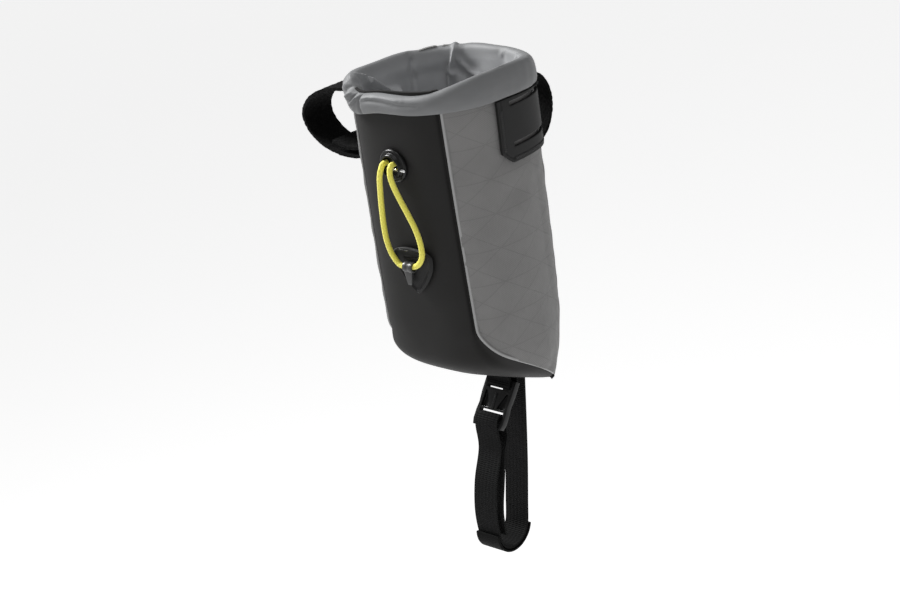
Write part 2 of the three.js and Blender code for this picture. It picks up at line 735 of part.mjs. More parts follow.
// Buckle outline and openings: across and along its own frame, most of them shares of its width and length
const BUCKLE_HALF = BUCKLE_WIDTH / 2;
const OPEN_HALF = WEBBING / 2 + 0.5;
const BUCKLE_END = 0.919 * BUCKLE_LENGTH;
const WAIST = 0.951 * BUCKLE_HALF;
const SHOULDER = 0.942 * BUCKLE_HALF;
const FOOT = 0.922 * BUCKLE_HALF;
const TONGUE_ROOT = 0.8 * OPEN_HALF;
const TONGUE_TIP = 0.3625 * OPEN_HALF;
const BUCKLE_SIDE = [0.259, 0.481, 0.63, 0.815].map((share) => share * BUCKLE_LENGTH);
const OPENING_ROWS = [0.156, 0.222, 0.496, 0.541, 0.585].map((share) => share * BUCKLE_LENGTH);
const BUCKLE_OUTLINE = [
  [-BUCKLE_HALF, -0.92 * BAR_HALF], [-SHOULDER, -BAR_HALF], [SHOULDER, -BAR_HALF],
  [BUCKLE_HALF, -0.92 * BAR_HALF], [BUCKLE_HALF, BUCKLE_SIDE[0]], [WAIST, BUCKLE_SIDE[1]],
  [BUCKLE_HALF, BUCKLE_SIDE[2]], [BUCKLE_HALF, BUCKLE_SIDE[3]], [FOOT, BUCKLE_END],
  [OPEN_HALF, BUCKLE_END], [OPEN_HALF, LOWER_BAR + BAR_HALF], [-OPEN_HALF, LOWER_BAR + BAR_HALF],
  [-OPEN_HALF, BUCKLE_END], [-FOOT, BUCKLE_END], [-BUCKLE_HALF, BUCKLE_SIDE[3]],
  [-BUCKLE_HALF, BUCKLE_SIDE[2]], [-WAIST, BUCKLE_SIDE[1]], [-BUCKLE_HALF, BUCKLE_SIDE[0]],
];
const RECESS_SHIFT = 0.9 * BUCKLE_THICK;
const oblong = (from, to) => [[-OPEN_HALF, from], [OPEN_HALF, from], [OPEN_HALF, to], [-OPEN_HALF, to]];
const besideTongue = (side) => [
  [side * OPEN_HALF, OPENING_ROWS[1]], [side * TONGUE_ROOT, OPENING_ROWS[1]],
  [side * TONGUE_TIP, OPENING_ROWS[2]], [side * TONGUE_TIP, OPENING_ROWS[3]],
  [side * OPEN_HALF, OPENING_ROWS[3]],
];
const BUCKLE_OPENINGS = [
  { list: oblong(BAR_HALF, OPENING_ROWS[0]), forward: 0 },
  { list: besideTongue(-1), forward: RECESS_SHIFT },
  { list: besideTongue(1), forward: RECESS_SHIFT },
  { list: oblong(OPENING_ROWS[4], LOWER_BAR - BAR_HALF), forward: 0 },
];

function buckle() {
  const prism = (list, depth) => {
    const shape = new THREE.Shape(list.map(([x, along]) => new THREE.Vector2(x, -along)));
    const geometry = new THREE.ExtrudeGeometry(shape, { depth, bevelEnabled: false });
    return toManifold(geometry.translate(0, 0, -depth / 2));
  };
  let solid = prism(BUCKLE_OUTLINE, BUCKLE_THICK);
  for (const { list, forward } of BUCKLE_OPENINGS) {
    solid = solid.subtract(prism(list, 2 * BUCKLE_THICK).translate(0, 0, forward));
  }
  const geometry = fromManifold(solid);
  geometry.rotateX(Math.PI / 2);
  const matrix = new THREE.Matrix4().makeBasis(
    new THREE.Vector3(1, 0, 0),
    buckleAt(1, 0).sub(buckleAt(0, 0)),
    buckleAt(0, -1).sub(buckleAt(0, 0)).normalize(),
  );
  geometry.applyMatrix4(matrix);
  return geometry.translate(BUCKLE_TOP.x, BUCKLE_TOP.y, BUCKLE_TOP.z);
}

// The strap's line: free end, up behind the buckle, over its lower bar, down, round the bottom, up to the bag
const WRAP = BUCKLE_THICK / 2 + GAP + WEBBING_THICK / 2;
const WRAP_END = BAR_HALF + GAP + WEBBING_THICK / 2;
const LOOP_RADIUS = 10.5;
const LOOP_LOW = -BODY_HEIGHT - LOOP_DROP + LOOP_RADIUS;
const LOOP_MIDDLE = 13.6;
const BACK_RUN_TOP = 26.6;

function bottomStrapLine() {
  const turn = steps(195, 345, 8).map((degrees) => {
    const a = degrees * RADIAN;
    return hang(LOOP_MIDDLE + LOOP_RADIUS * Math.cos(a), LOOP_LOW + LOOP_RADIUS * Math.sin(a));
  });
  const points = [
    hang(7.6, LOOP_LOW - 1),
    hang(5.8, LOOP_LOW + 12),
    hang(7.6, LOOP_LOW + 30),
    hang(9.8, LOOP_LOW + 46),
    buckleAt(WRAP + 5.2, LOWER_BAR + 6),
    buckleAt(WRAP + 1.6, LOWER_BAR + 1.5),
    buckleAt(WRAP * 0.95, LOWER_BAR - WRAP_END * 0.9),
    buckleAt(0, LOWER_BAR - WRAP_END - 0.25),
    buckleAt(-WRAP * 0.95, LOWER_BAR - WRAP_END * 0.9),
    buckleAt(-WRAP - 0.3, LOWER_BAR + 0.5),
    buckleAt(-WRAP * 0.8, LOWER_BAR + WRAP_END + 0.9),
    buckleAt(-0.5, LOWER_BAR + WRAP_END + 3.6),
    hang(6.2, LOOP_LOW + 48),
    hang(1.8, LOOP_LOW + 30),
    hang(0.8, LOOP_LOW + 12),
    ...turn,
    hang(24.8, LOOP_LOW + 12),
    hang(26, LOOP_LOW + 35),
    hang(26.6, LOOP_LOW + 60),
    new THREE.Vector3(0, BACK_RUN_TOP, under(BACK_RUN_TOP) - GAP - 0.5),
  ];
  return smoothLine(points, 3);
}

function bottomStrap() {
  return band(bottomStrapLine(), new THREE.Vector3(1, 0, 0), WEBBING, WEBBING_THICK);
}

// Smooth sleeve round the outside of the strap's lowest bend
const SLEEVE_THICK = 1.2;

function strapSleeve() {
  const radius = LOOP_RADIUS + WEBBING_THICK / 2 + LAY_GAP + 0.15 + SLEEVE_THICK / 2;
  const line = steps(178, 352, 18).map((degrees) => {
    const a = degrees * RADIAN;
    return hang(LOOP_MIDDLE + radius * Math.cos(a), LOOP_LOW + radius * Math.sin(a));
  });
  return band(line, new THREE.Vector3(1, 0, 0), WEBBING + 0.8, SLEEVE_THICK);
}

// Colours and finishes
const FINISHES = {
  black_panel: { color: 0x2b2b2d, roughness: 0.7, metalness: 0 },
  grey_ripstop: { color: 0x77797a, roughness: 0.6, metalness: 0 },
  lining_cloth: { color: 0x8f9193, roughness: 0.55, metalness: 0 },
  black_cloth: { color: 0x1b1b1c, roughness: 0.8, metalness: 0 },
  hook_loop: { color: 0x151516, roughness: 0.95, metalness: 0 },
  webbing: { color: 0x19191b, roughness: 0.8, metalness: 0 },
  black_plastic: { color: 0x101011, roughness: 0.35, metalness: 0 },
  yellow_elastic: { color: 0xe6dc3a, roughness: 0.6, metalness: 0 },
  pin_steel: { color: 0xc9cacc, roughness: 0.3, metalness: 0.9 },
};

const group = new THREE.Group();
group.name = 'food_pouch';

function add(name, geometry, finish) {
  const material = new THREE.MeshStandardMaterial(FINISHES[finish]);
  material.name = finish;
  const mesh = new THREE.Mesh(geometry.translate(-BAR_CENTRE.x, -BAR_CENTRE.y, -BAR_CENTRE.z), material);
  mesh.name = name;
  group.add(mesh);
}

add('front_panel', frontPanel(), 'black_panel');
add('side_panel_right', sidePanel(1), 'grey_ripstop');
add('side_panel_left', sidePanel(-1), 'grey_ripstop');
add('back_panel', backPanel(), 'grey_ripstop');
add('lining', lining(), 'lining_cloth');
add('cuff', cuff(), 'lining_cloth');
const flatPatch = { raise: 0, slotTall: SLOT_TALL, openTop: false, cutCorner: CUT_CORNER };
const strapPatch = { raise: PATCH_RAISE, slotTall: 2 * SLOT_TALL, openTop: true, cutCorner: 0 };
add('patch_right', patch({ ...flatPatch, from: SIDE_PATCH_START, to: SIDE_PATCH_END }), 'black_cloth');
add('patch_left', patch({ ...strapPatch, from: 250, to: 281 }), 'black_cloth');
add('patch_back', patch({ ...strapPatch, from: 165, to: 195 }), 'black_cloth');
add('stem_strap', stemStrap(), 'hook_loop');
add('bar_strap', barStrap(), 'hook_loop');
add('cord_eyelet', eyelet(), 'black_plastic');
add('eyelet_pin', eyeletPin(), 'pin_steel');
add('elastic_cord', elasticCord(), 'yellow_elastic');
add('keeper_patch', keeperPatch(), 'black_cloth');
add('keeper_tab', keeperTab(), 'black_plastic');
add('buckle_tab', buckleTab(), 'webbing');
add('buckle', buckle(), 'black_plastic');
add('bottom_strap', bottomStrap(), 'webbing');
add('strap_sleeve', strapSleeve(), 'black_cloth');

export default group;
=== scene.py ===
"""Dressed model of a soft handlebar food pouch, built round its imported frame."""

import logging
import math
from dataclasses import dataclass
from enum import Enum
from functools import cached_property
from typing import Callable, Optional, Sequence

import bpy
import numpy as np
from mathutils import Matrix, Vector

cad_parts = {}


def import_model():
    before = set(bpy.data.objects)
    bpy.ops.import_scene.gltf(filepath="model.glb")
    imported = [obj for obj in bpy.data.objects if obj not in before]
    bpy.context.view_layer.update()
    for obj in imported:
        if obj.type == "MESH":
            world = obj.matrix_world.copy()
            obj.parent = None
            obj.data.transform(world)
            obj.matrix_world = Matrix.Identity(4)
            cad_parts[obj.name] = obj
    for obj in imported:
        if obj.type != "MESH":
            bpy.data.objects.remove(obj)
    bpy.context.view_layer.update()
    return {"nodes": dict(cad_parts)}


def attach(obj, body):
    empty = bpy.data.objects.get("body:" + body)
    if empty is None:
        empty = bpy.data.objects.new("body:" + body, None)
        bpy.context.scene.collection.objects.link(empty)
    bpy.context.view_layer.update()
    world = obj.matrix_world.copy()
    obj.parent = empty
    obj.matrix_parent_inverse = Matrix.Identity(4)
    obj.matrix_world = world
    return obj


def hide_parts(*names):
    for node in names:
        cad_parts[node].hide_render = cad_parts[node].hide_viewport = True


LOG = logging.getLogger("pouch")
MM = 0.001
Rows = Sequence[Sequence[float]]
Detail = Callable[[np.ndarray, np.ndarray, np.ndarray], np.ndarray]


# Shape helpers


def read_rows(rows: Rows, at: np.ndarray) -> np.ndarray:
    """Read a table between its rows, with smooth steps from row to row.

    Args:
        rows: rows whose first number is the place and whose others are values.
        at: the places to read at.

    Returns:
        The values at each place, along a last axis.
    """
    table = np.array(rows, dtype=float)
    key, values = table[:, 0], table[:, 1:]
    at = np.asarray(at, dtype=float)
    last = len(key) - 1
    i = np.clip(np.searchsorted(key[1:], at, side="left"), 0, last - 1)
    before, after = np.maximum(i - 1, 0), np.minimum(i + 2, last)
    span = key[i + 1] - key[i]
    t = np.clip((at - key[i]) / span, 0, 1)[..., None]
    span = span[..., None]
    m0 = span * (values[i + 1] - values[before]) / (key[i + 1] - key[before])[..., None]
    m1 = span * (values[after] - values[i]) / (key[after] - key[i])[..., None]
    p0, p1 = values[i], values[i + 1]
    return (((2 * p0 - 2 * p1 + m0 + m1) * t + (3 * p1 - 3 * p0 - 2 * m0 - m1)) * t + m0) * t + p0


def signed_power(value: np.ndarray, power: np.ndarray) -> np.ndarray:
    """Raise a size to a power and keep its sign."""
    return np.sign(value) * np.abs(value) ** power


def smooth_step(value: np.ndarray) -> np.ndarray:
    """Ease from 0 to 1."""
    t = np.clip(value, 0, 1)
    return t * t * (3 - 2 * t)


def smooth_line(points: Rows, between: int) -> np.ndarray:
    """Draw a smooth line through given points.

    Args:
        points: the points that the line goes through.
        between: how many steps each stretch gets.

    Returns:
        The line's points, the first and last of them the ends.
    """
    p = np.array(points, dtype=float)
    p = np.vstack([2 * p[0] - p[1], p, 2 * p[-1] - p[-2]])
    line = []
    for i in range(1, len(p) - 2):
        a, b, c, d = p[i - 1:i + 3]
        d0, d1, d2 = [max(np.linalg.norm(v) ** 0.5, 1e-4) for v in (b - a, c - b, d - c)]
        t1 = ((b - a) / d0 - (c - a) / (d0 + d1) + (c - b) / d1) * d1
        t2 = ((c - b) / d1 - (d - b) / (d1 + d2) + (d - c) / d2) * d1
        for k in range(between):
            t = k / between
            line.append(((2 * b - 2 * c + t1 + t2) * t + (3 * c - 3 * b - 2 * t1 - t2)) * t * t + t1 * t + b)
    return np.vstack([line, p[-2]])


def run_along(line: np.ndarray) -> np.ndarray:
    """Give the distance from a line's start to each of its points."""
    return np.concatenate([[0], np.cumsum(np.linalg.norm(np.diff(line, axis=0), axis=1))])


def evenly(line: np.ndarray, step: float) -> np.ndarray:
    """Space a line's points evenly.

    Args:
        line: the points of the line.
        step: the distance between two points of the result.

    Returns:
        The evenly spaced points.
    """
    run = run_along(line)
    places = np.linspace(0, run[-1], max(2, int(round(run[-1] / step)) + 1))
    return np.stack([np.interp(places, run, line[:, k]) for k in range(3)], axis=1)


def border_curve(points: np.ndarray, between: int) -> np.ndarray:
    """Draw the smooth border that a divided and smoothed grid gets.

    Args:
        points: the grid's corners along that border.
        between: how many steps each stretch gets.

    Returns:
        The border's points.
    """
    p = np.vstack([2 * points[0] - points[1], points, 2 * points[-1] - points[-2]])
    curve = []
    for i in range(len(p) - 3):
        for t in np.linspace(0, 1, between, endpoint=False):
            weights = ((1 - t) ** 3, 3 * t ** 3 - 6 * t ** 2 + 4, 1 + 3 * t + 3 * t ** 2 - 3 * t ** 3, t ** 3)
            curve.append(np.array(weights) @ p[i:i + 4] / 6)
    return np.vstack([curve, points[-1]])


def flat_grid(around: np.ndarray, points: np.ndarray) -> np.ndarray:
    """Give the flat places of a grid of cloth.

    Args:
        around: the distance round the bag to each column.
        points: the grid's points, row by row.

    Returns:
        For each point the distances round the bag and down the cloth.
    """
    steps = np.linalg.norm(np.diff(points, axis=0), axis=2).mean(axis=1)
    down = np.concatenate([[0], np.cumsum(steps)])
    return np.stack(np.broadcast_arrays(around, down[:, None]), axis=-1)


@dataclass(frozen=True)
class Waves:
    """Soft random-looking undulation, the same on every run."""

    seed: int
    length: float
    height: float
    count: int = 7

    def at(self, points: np.ndarray) -> np.ndarray:
        """Give the height at each point, in millimetres."""
        draw = np.random.RandomState(self.seed)
        total = np.zeros(points.shape[:-1])
        for _ in range(self.count):
            way = draw.normal(size=points.shape[-1])
            way /= np.linalg.norm(way)
            pitch = self.length * draw.uniform(0.7, 1.6)
            total += np.sin(points @ way * (2 * math.pi / pitch) + draw.uniform(0, 2 * math.pi))
        return total * self.height / math.sqrt(self.count)


class FoldKind(Enum):
    """How a fold rises from the cloth round it."""

    ROLL = "roll"
    TENT = "tent"
    LAP = "lap"


@dataclass(frozen=True)
class Fold:
    """A fold along a line drawn on the cloth by angle and distance down."""

    kind: FoldKind
    height: float
    width: float
    route: Rows
    fade: float = 6.0

    def at(self, angle: np.ndarray, down: np.ndarray) -> np.ndarray:
        """Give the fold's height.

        Args:
            angle: degrees round the bag.
            down: millimetres down from the lip.

        Returns:
            Height of the fold in millimetres at each place.
        """
        degree = 0.8
        route = np.array(route_in_millimetres(self.route, degree))
        x, y = angle * degree, down
        nearest = np.full(np.shape(x), 1e6)
        side = np.zeros(np.shape(x))
        for a, b in zip(route[:-1], route[1:]):
            run = b - a
            share = np.clip(((x - a[0]) * run[0] + (y - a[1]) * run[1]) / (run @ run), 0, 1)
            dx, dy = x - a[0] - share * run[0], y - a[1] - share * run[1]
            away = np.hypot(dx, dy)
            closer = away < nearest
            nearest = np.where(closer, away, nearest)
            side = np.where(closer, np.sign(run[0] * dy - run[1] * dx), side)
        first, last = route[0], route[-1]
        ends = np.minimum(np.hypot(x - first[0], y - first[1]), np.hypot(x - last[0], y - last[1]))
        strength = self.height * smooth_step((ends + 0.35 * self.fade) / self.fade)
        if self.kind is FoldKind.TENT:
            return strength * np.maximum(0, 1 - nearest / self.width)
        if self.kind is FoldKind.ROLL:
            return strength * np.exp(-(nearest / self.width) ** 2)
        width = np.where(side > 0, self.width, 0.9)
        return strength * np.exp(-(nearest / width) ** 2)


def route_in_millimetres(route: Rows, degree: float) -> list:
    """Turn a fold's angles into millimetres round the bag."""
    return [np.array([angle * degree, down]) for angle, down in route]


# The bag's own form


@dataclass(frozen=True)
class BagForm:
    """Sizes of the bag in millimetres, with the middle of its mouth at zero."""

    width: float = 80.0
    depth: float = 80.0
    height: float = 174.5
    rim_fade: float = 0.12
    rim_top: float = 3.0
    cuff_drop: float = 14.0
    front_seam: float = 41.0
    back_seam: float = 138.0
    cloth: float = 1.6
    gap: float = 0.3
    origin: tuple = (0.0, 54.5, -40.0)
    # down, width, front, back, power
    sections: Rows = (
        (0.0, 0.99, 1.0, 0.99, 2.9),
        (0.3, 1.0, 0.94, 1.0, 3.0),
        (0.6, 1.01, 0.86, 1.0, 3.1),
        (0.8, 1.0, 0.79, 0.98, 3.2),
        (0.9, 0.965, 0.75, 0.92, 3.2),
        (1.0, 0.89, 0.72, 0.81, 3.2),
    )
    # angle, lift, push
    rim: Rows = (
        (0, -2, -0.5),
        (45, -0.5, 0.2),
        (90, -1.5, -1),
        (135, -3, -2.2),
        (180, -4, -1.5),
        (225, -2, -1),
        (270, -4.5, -0.5),
        (315, -2.5, -0.5),
        (340, -5, -0.5),
        (360, -2, -0.5),
    )
    # angle, down, wide, long, depth
    dents: Rows = (
        (105, 0.62, 14, 0.3, 1.3),
        (72, 0.72, 12, 0.2, -0.8),
        (255, 0.62, 14, 0.3, 1.3),
        (288, 0.72, 12, 0.2, -0.8),
        (180, 0.55, 20, 0.25, 1.0),
    )
    # down, angle
    seam: Rows = (
        (0.752, 41),
        (0.768, 45),
        (0.805, 56),
        (0.834, 70),
        (0.877, 88),
        (0.938, 103),
        (0.968, 117),
        (0.985, 128),
        (0.992, 136.5),
    )
    # back, down, square, round
    belly: Rows = (
        (-0.8, 0.78, 2.5, 1.05),
        (-0.788, 0.81, 2.7, 1.15),
        (-0.765, 0.84, 3.0, 1.3),
        (-0.71, 0.87, 3.2, 1.5),
        (-0.54, 0.898, 3.4, 1.6),
        (-0.1, 0.938, 3.4, 1.6),
        (0.36, 0.985, 3.4, 1.6),
        (0.7, 1.015, 3.2, 1.6),
        (0.83, 0.992, 3.0, 1.5),
    )

    def placed(self, points: np.ndarray) -> np.ndarray:
        """Turn millimetres from the mouth into metres in the shared frame."""
        return (np.asarray(points, dtype=float) - np.array(self.origin)) * MM

    def unplaced(self, points: np.ndarray) -> np.ndarray:
        """Turn metres in the shared frame into millimetres from the mouth."""
        return np.asarray(points, dtype=float) / MM + np.array(self.origin)

    def wall(self, z: np.ndarray, angle: np.ndarray, inset: np.ndarray = 0.0) -> np.ndarray:
        """Give points of the wall.

        Args:
            z: heights in millimetres.
            angle: degrees from the middle of the front towards the right side.
            inset: how far inwards from the cloth's outer face.

        Returns:
            The points, along a last axis of three.
        """
        z, angle, inset = np.broadcast_arrays(np.asarray(z, float), angle, inset)
        down = np.maximum(0, -z / self.height)
        s = read_rows(self.sections, down)
        turn = angle % 360
        push = read_rows(self.rim, turn)[..., 1]
        dent = sum(
            row[4] * np.exp(-((turn - row[0]) / row[2]) ** 2 - ((down - row[1]) / row[3]) ** 2)
            for row in self.dents
        )
        inward = inset + dent - push * np.maximum(0, 1 - down / self.rim_fade)
        sine, cosine = np.sin(np.radians(turn)), np.cos(np.radians(turn))
        reach = np.where(cosine > 0, s[..., 1], s[..., 2])
        x = (s[..., 0] * self.width / 2 - inward) * signed_power(sine, 2 / s[..., 3])
        y = -(reach * self.depth / 2 - inward) * signed_power(cosine, 2 / s[..., 3])
        return np.stack([x, y, z], axis=-1)

    def lip(self, angle: np.ndarray) -> np.ndarray:
        """Give the height of the lip at an angle."""
        return read_rows(self.rim, np.asarray(angle, float) % 360)[..., 0]

    def front(self, x: np.ndarray, z: np.ndarray, out: np.ndarray) -> np.ndarray:
        """Give points in front of the black panel.

        Args:
            x: millimetres across.
            z: heights in millimetres.
            out: how far out from the cloth.

        Returns:
            The points, along a last axis of three.
        """
        x, z, out = np.broadcast_arrays(np.asarray(x, float), z, out)
        s = read_rows(self.sections, -z / self.height)
        share = np.abs(x) / (s[..., 0] * self.width / 2)
        y = -(s[..., 1] * self.depth / 2) * (1 - share ** s[..., 3]) ** (1 / s[..., 3])
        return np.stack([x, y - out, z], axis=-1)

    def lean(self, z: float) -> float:
        """Give how much the front leans back at a height, in radians."""
        low, high = self.front(0, z - 5, 0), self.front(0, z + 5, 0)
        return math.atan2(low[1] - high[1], 10)

    def under(self, back: float) -> float:
        """Give the height of the underside at a distance back from the middle."""
        share = back / (self.depth / 2)
        rows = np.array(self.belly)
        return -float(np.interp(share, rows[:, 0], rows[:, 1])) * self.height

    @cached_property
    def girth(self) -> tuple:
        """Give angles round the bag and the distances round to them."""
        fine = np.linspace(-190, 370, 1121)
        ring = self.wall(-0.4 * self.height, fine)
        return fine, run_along(ring)

    def around(self, angle: np.ndarray) -> np.ndarray:
        """Give the distance round the bag to an angle, in millimetres."""
        return np.interp(angle, *self.girth)


BAG = BagForm()


# Mesh work


def start_clean() -> None:
    """Leave edit mode and deselect everything."""
    if bpy.context.object and bpy.context.object.mode != "OBJECT":
        bpy.ops.object.mode_set(mode="OBJECT")
    bpy.ops.object.select_all(action="DESELECT")


def only(obj: bpy.types.Object) -> None:
    """Make one object the selected and active one."""
    start_clean()
    obj.select_set(True)
    bpy.context.view_layer.objects.active = obj


def apply_modifier(obj: bpy.types.Object, kind: str, **settings: object) -> None:
    """Add a modifier with settings and apply it.

    Args:
        obj: the object to change.
        kind: the type of modifier.
        **settings: its settings.
    """
    only(obj)
    modifier = obj.modifiers.new(kind.title(), kind)
    for name, value in settings.items():
        setattr(modifier, name, value)
    bpy.ops.object.modifier_apply(modifier=modifier.name)


def points_of(obj: bpy.types.Object) -> np.ndarray:
    """Read an object's corners in millimetres from the mouth."""
    found = np.empty(len(obj.data.vertices) * 3)
    obj.data.vertices.foreach_get("co", found)
    return BAG.unplaced(found.reshape(-1, 3))


def set_points(obj: bpy.types.Object, points: np.ndarray) -> None:
    """Move an object's corners to places in millimetres from the mouth."""
    obj.data.vertices.foreach_set("co", BAG.placed(points).ravel())
    obj.data.update()


def normals_of(obj: bpy.types.Object) -> np.ndarray:
    """Read the directions that an object's corners face."""
    found = np.empty(len(obj.data.vertices) * 3)
    obj.data.vertex_normals.foreach_get("vector", found)
    return found.reshape(-1, 3)


def corner_uv(obj: bpy.types.Object) -> np.ndarray:
    """Read one place on the cloth for each corner, in millimetres."""
    mesh = obj.data
    index = np.empty(len(mesh.loops), dtype=int)
    mesh.loops.foreach_get("vertex_index", index)
    uv = np.empty(len(mesh.loops) * 2)
    mesh.uv_layers.active.data.foreach_get("uv", uv)
    found = np.zeros((len(mesh.vertices), 2))
    found[index] = uv.reshape(-1, 2)
    return found / MM


def smooth(obj: bpy.types.Object, degrees: float = 50.0) -> None:
    """Shade an object smoothly, with creases at edges sharper than an angle."""
    only(obj)
    bpy.ops.object.shade_smooth_by_angle(angle=math.radians(degrees))


@dataclass
class Cloth:
    """Cloth made from a grid of points and the flat places that they come from."""

    name: str
    points: np.ndarray
    flat: np.ndarray
    closed: bool = False
    outward: bool = True

    def build(
        self,
        levels: int,
        thick: float,
        detail: Optional[Detail] = None,
        offset: float = -1.0,
    ) -> bpy.types.Object:
        """Model the cloth.

        Args:
            levels: how many times the grid is smoothed and divided.
            thick: thickness in millimetres.
            detail: gives each corner's rise from its place, flat place and direction.
            offset: side on which the thickness goes, -1 for inwards.

        Returns:
            The finished object.
        """
        start_clean()
        rows, columns = self.points.shape[:2]
        bpy.ops.mesh.primitive_grid_add(
            x_subdivisions=columns - 1, y_subdivisions=rows - 1, size=1, calc_uvs=True
        )
        obj = bpy.context.object
        obj.name = obj.data.name = self.name
        mesh = obj.data
        set_points(obj, self.points.reshape(-1, 3))
        index = np.empty(len(mesh.loops), dtype=int)
        mesh.loops.foreach_get("vertex_index", index)
        mesh.uv_layers.active.data.foreach_set("uv", (self.flat.reshape(-1, 2)[index] * MM).ravel())
        bpy.ops.object.mode_set(mode="EDIT")
        bpy.ops.mesh.select_all(action="SELECT")
        if self.closed:
            bpy.ops.mesh.remove_doubles(threshold=1e-6)
        if not self.outward:
            bpy.ops.mesh.flip_normals()
        bpy.ops.object.mode_set(mode="OBJECT")
        if levels:
            apply_modifier(obj, "SUBSURF", levels=levels, render_levels=levels)
        if detail:
            place, way = points_of(obj), normals_of(obj)
            set_points(obj, place + way * detail(place, corner_uv(obj), way)[:, None])
        if thick:
            apply_modifier(obj, "SOLIDIFY", thickness=thick * MM, offset=offset, use_even_offset=False)
        smooth(obj)
        return obj


def band_cloth(name: str, line: np.ndarray, across: Sequence[float], width: float, cells: int) -> Cloth:
    """Lay a flat band along a line.

    Args:
        name: the object's name.
        line: the band's middle line.
        across: the direction of its width.
        width: its width in millimetres.
        cells: divisions across.

    Returns:
        The band as cloth, ready to build.
    """
    way = np.array(across, float) / np.linalg.norm(across)
    shares = np.linspace(-0.5, 0.5, cells + 1) * width
    run = run_along(line)
    points = line[:, None, :] + shares[None, :, None] * way
    flat = np.stack(np.broadcast_arrays(shares[None, :], run[:, None]), axis=-1)
    return Cloth(name, points, flat)


def turned(name: str, profile: Rows, segments: int = 64) -> bpy.types.Object:
    """Raise a round piece ring by ring from a disc.

    Args:
        name: the object's name.
        profile: radius and height of each ring in millimetres.
        segments: sides of the rings.

    Returns:
        The closed object, round Z.
    """
    start_clean()
    radius, height = profile[0]
    bpy.ops.mesh.primitive_circle_add(vertices=segments, radius=radius * MM, fill_type="NGON")
    obj = bpy.context.object
    obj.name = obj.data.name = name
    bpy.ops.object.mode_set(mode="EDIT")
    bpy.ops.mesh.select_all(action="SELECT")
    for next_radius, next_height in profile[1:]:
        bpy.ops.mesh.extrude_region_move(
            TRANSFORM_OT_translate={"value": (0, 0, (next_height - height) * MM)}
        )
        scale = next_radius / radius
        bpy.ops.transform.resize(value=(scale, scale, 1), center_override=(0, 0, next_height * MM))
        radius, height = next_radius, next_height
    bpy.ops.object.mode_set(mode="OBJECT")
    face_out(obj)
    return obj


def face_out(obj: bpy.types.Object) -> None:
    """Turn all the faces of a closed object outwards."""
    only(obj)
    bpy.ops.object.mode_set(mode="EDIT")
    bpy.ops.mesh.select_all(action="SELECT")
    bpy.ops.mesh.normals_make_consistent(inside=False)
    bpy.ops.object.mode_set(mode="OBJECT")


def put(obj: bpy.types.Object, matrix: Matrix) -> None:
    """Apply a placement to a mesh and leave its object at the origin."""
    only(obj)
    obj.matrix_world = matrix
    bpy.context.view_layer.update()
    bpy.ops.object.transform_apply(location=True, rotation=True, scale=True)


def joined(name: str, parts: Sequence[bpy.types.Object]) -> bpy.types.Object:
    """Join objects into one piece.

    Args:
        name: the piece's name.
        parts: the objects to join.

    Returns:
        The joined object.
    """
    start_clean()
    for part in parts:
        part.select_set(True)
    bpy.context.view_layer.objects.active = parts[0]
    if len(parts) > 1:
        bpy.ops.object.join()
    obj = bpy.context.object
    obj.name = obj.data.name = name
    return obj


def tube(name: str, line: np.ndarray, radius: float, sides: int, relief: float = 0.0) -> bpy.types.Object:
    """Sweep a round tube along a line, with closed ends.

    Args:
        name: the object's name.
        line: the middle line in millimetres.
        radius: the tube's radius.
        sides: sides of its rings.
        relief: height of a braided relief.

    Returns:
        The tube, with its flat places round and along it.
    """
    run = run_along(line)
    way = np.gradient(line, axis=0)
    way /= np.linalg.norm(way, axis=1)[:, None]
    side = np.cross(way[0], [0.3, 0.9, 0.2])
    rings = []
    turns = np.linspace(0, 2 * math.pi, sides + 1)
    for i, point in enumerate(line):
        side = side - way[i] * (side @ way[i])
        side /= np.linalg.norm(side)
        third = np.cross(way[i], side)
        bulge = relief * (
            np.abs(np.sin(3 * turns + run[i] * 2.1)) * np.abs(np.sin(3 * turns - run[i] * 2.1)) - 0.3
        )
        size = (radius + bulge)[:, None]
        rings.append(point + size * (np.cos(turns)[:, None] * side + np.sin(turns)[:, None] * third))
    points = np.array(rings)
    flat = np.stack(np.broadcast_arrays(turns[None, :] * radius, run[:, None]), axis=-1)
    obj = Cloth(name, points, flat, closed=True).build(0, 0)
    only(obj)
    bpy.ops.object.mode_set(mode="EDIT")
    bpy.ops.mesh.select_all(action="DESELECT")
    bpy.ops.mesh.select_mode(type="EDGE")
    bpy.ops.mesh.select_non_manifold(extend=False)
    bpy.ops.mesh.edge_face_add()
    bpy.ops.object.mode_set(mode="OBJECT")
    face_out(obj)
    bpy.ops.object.shade_smooth()
    return obj


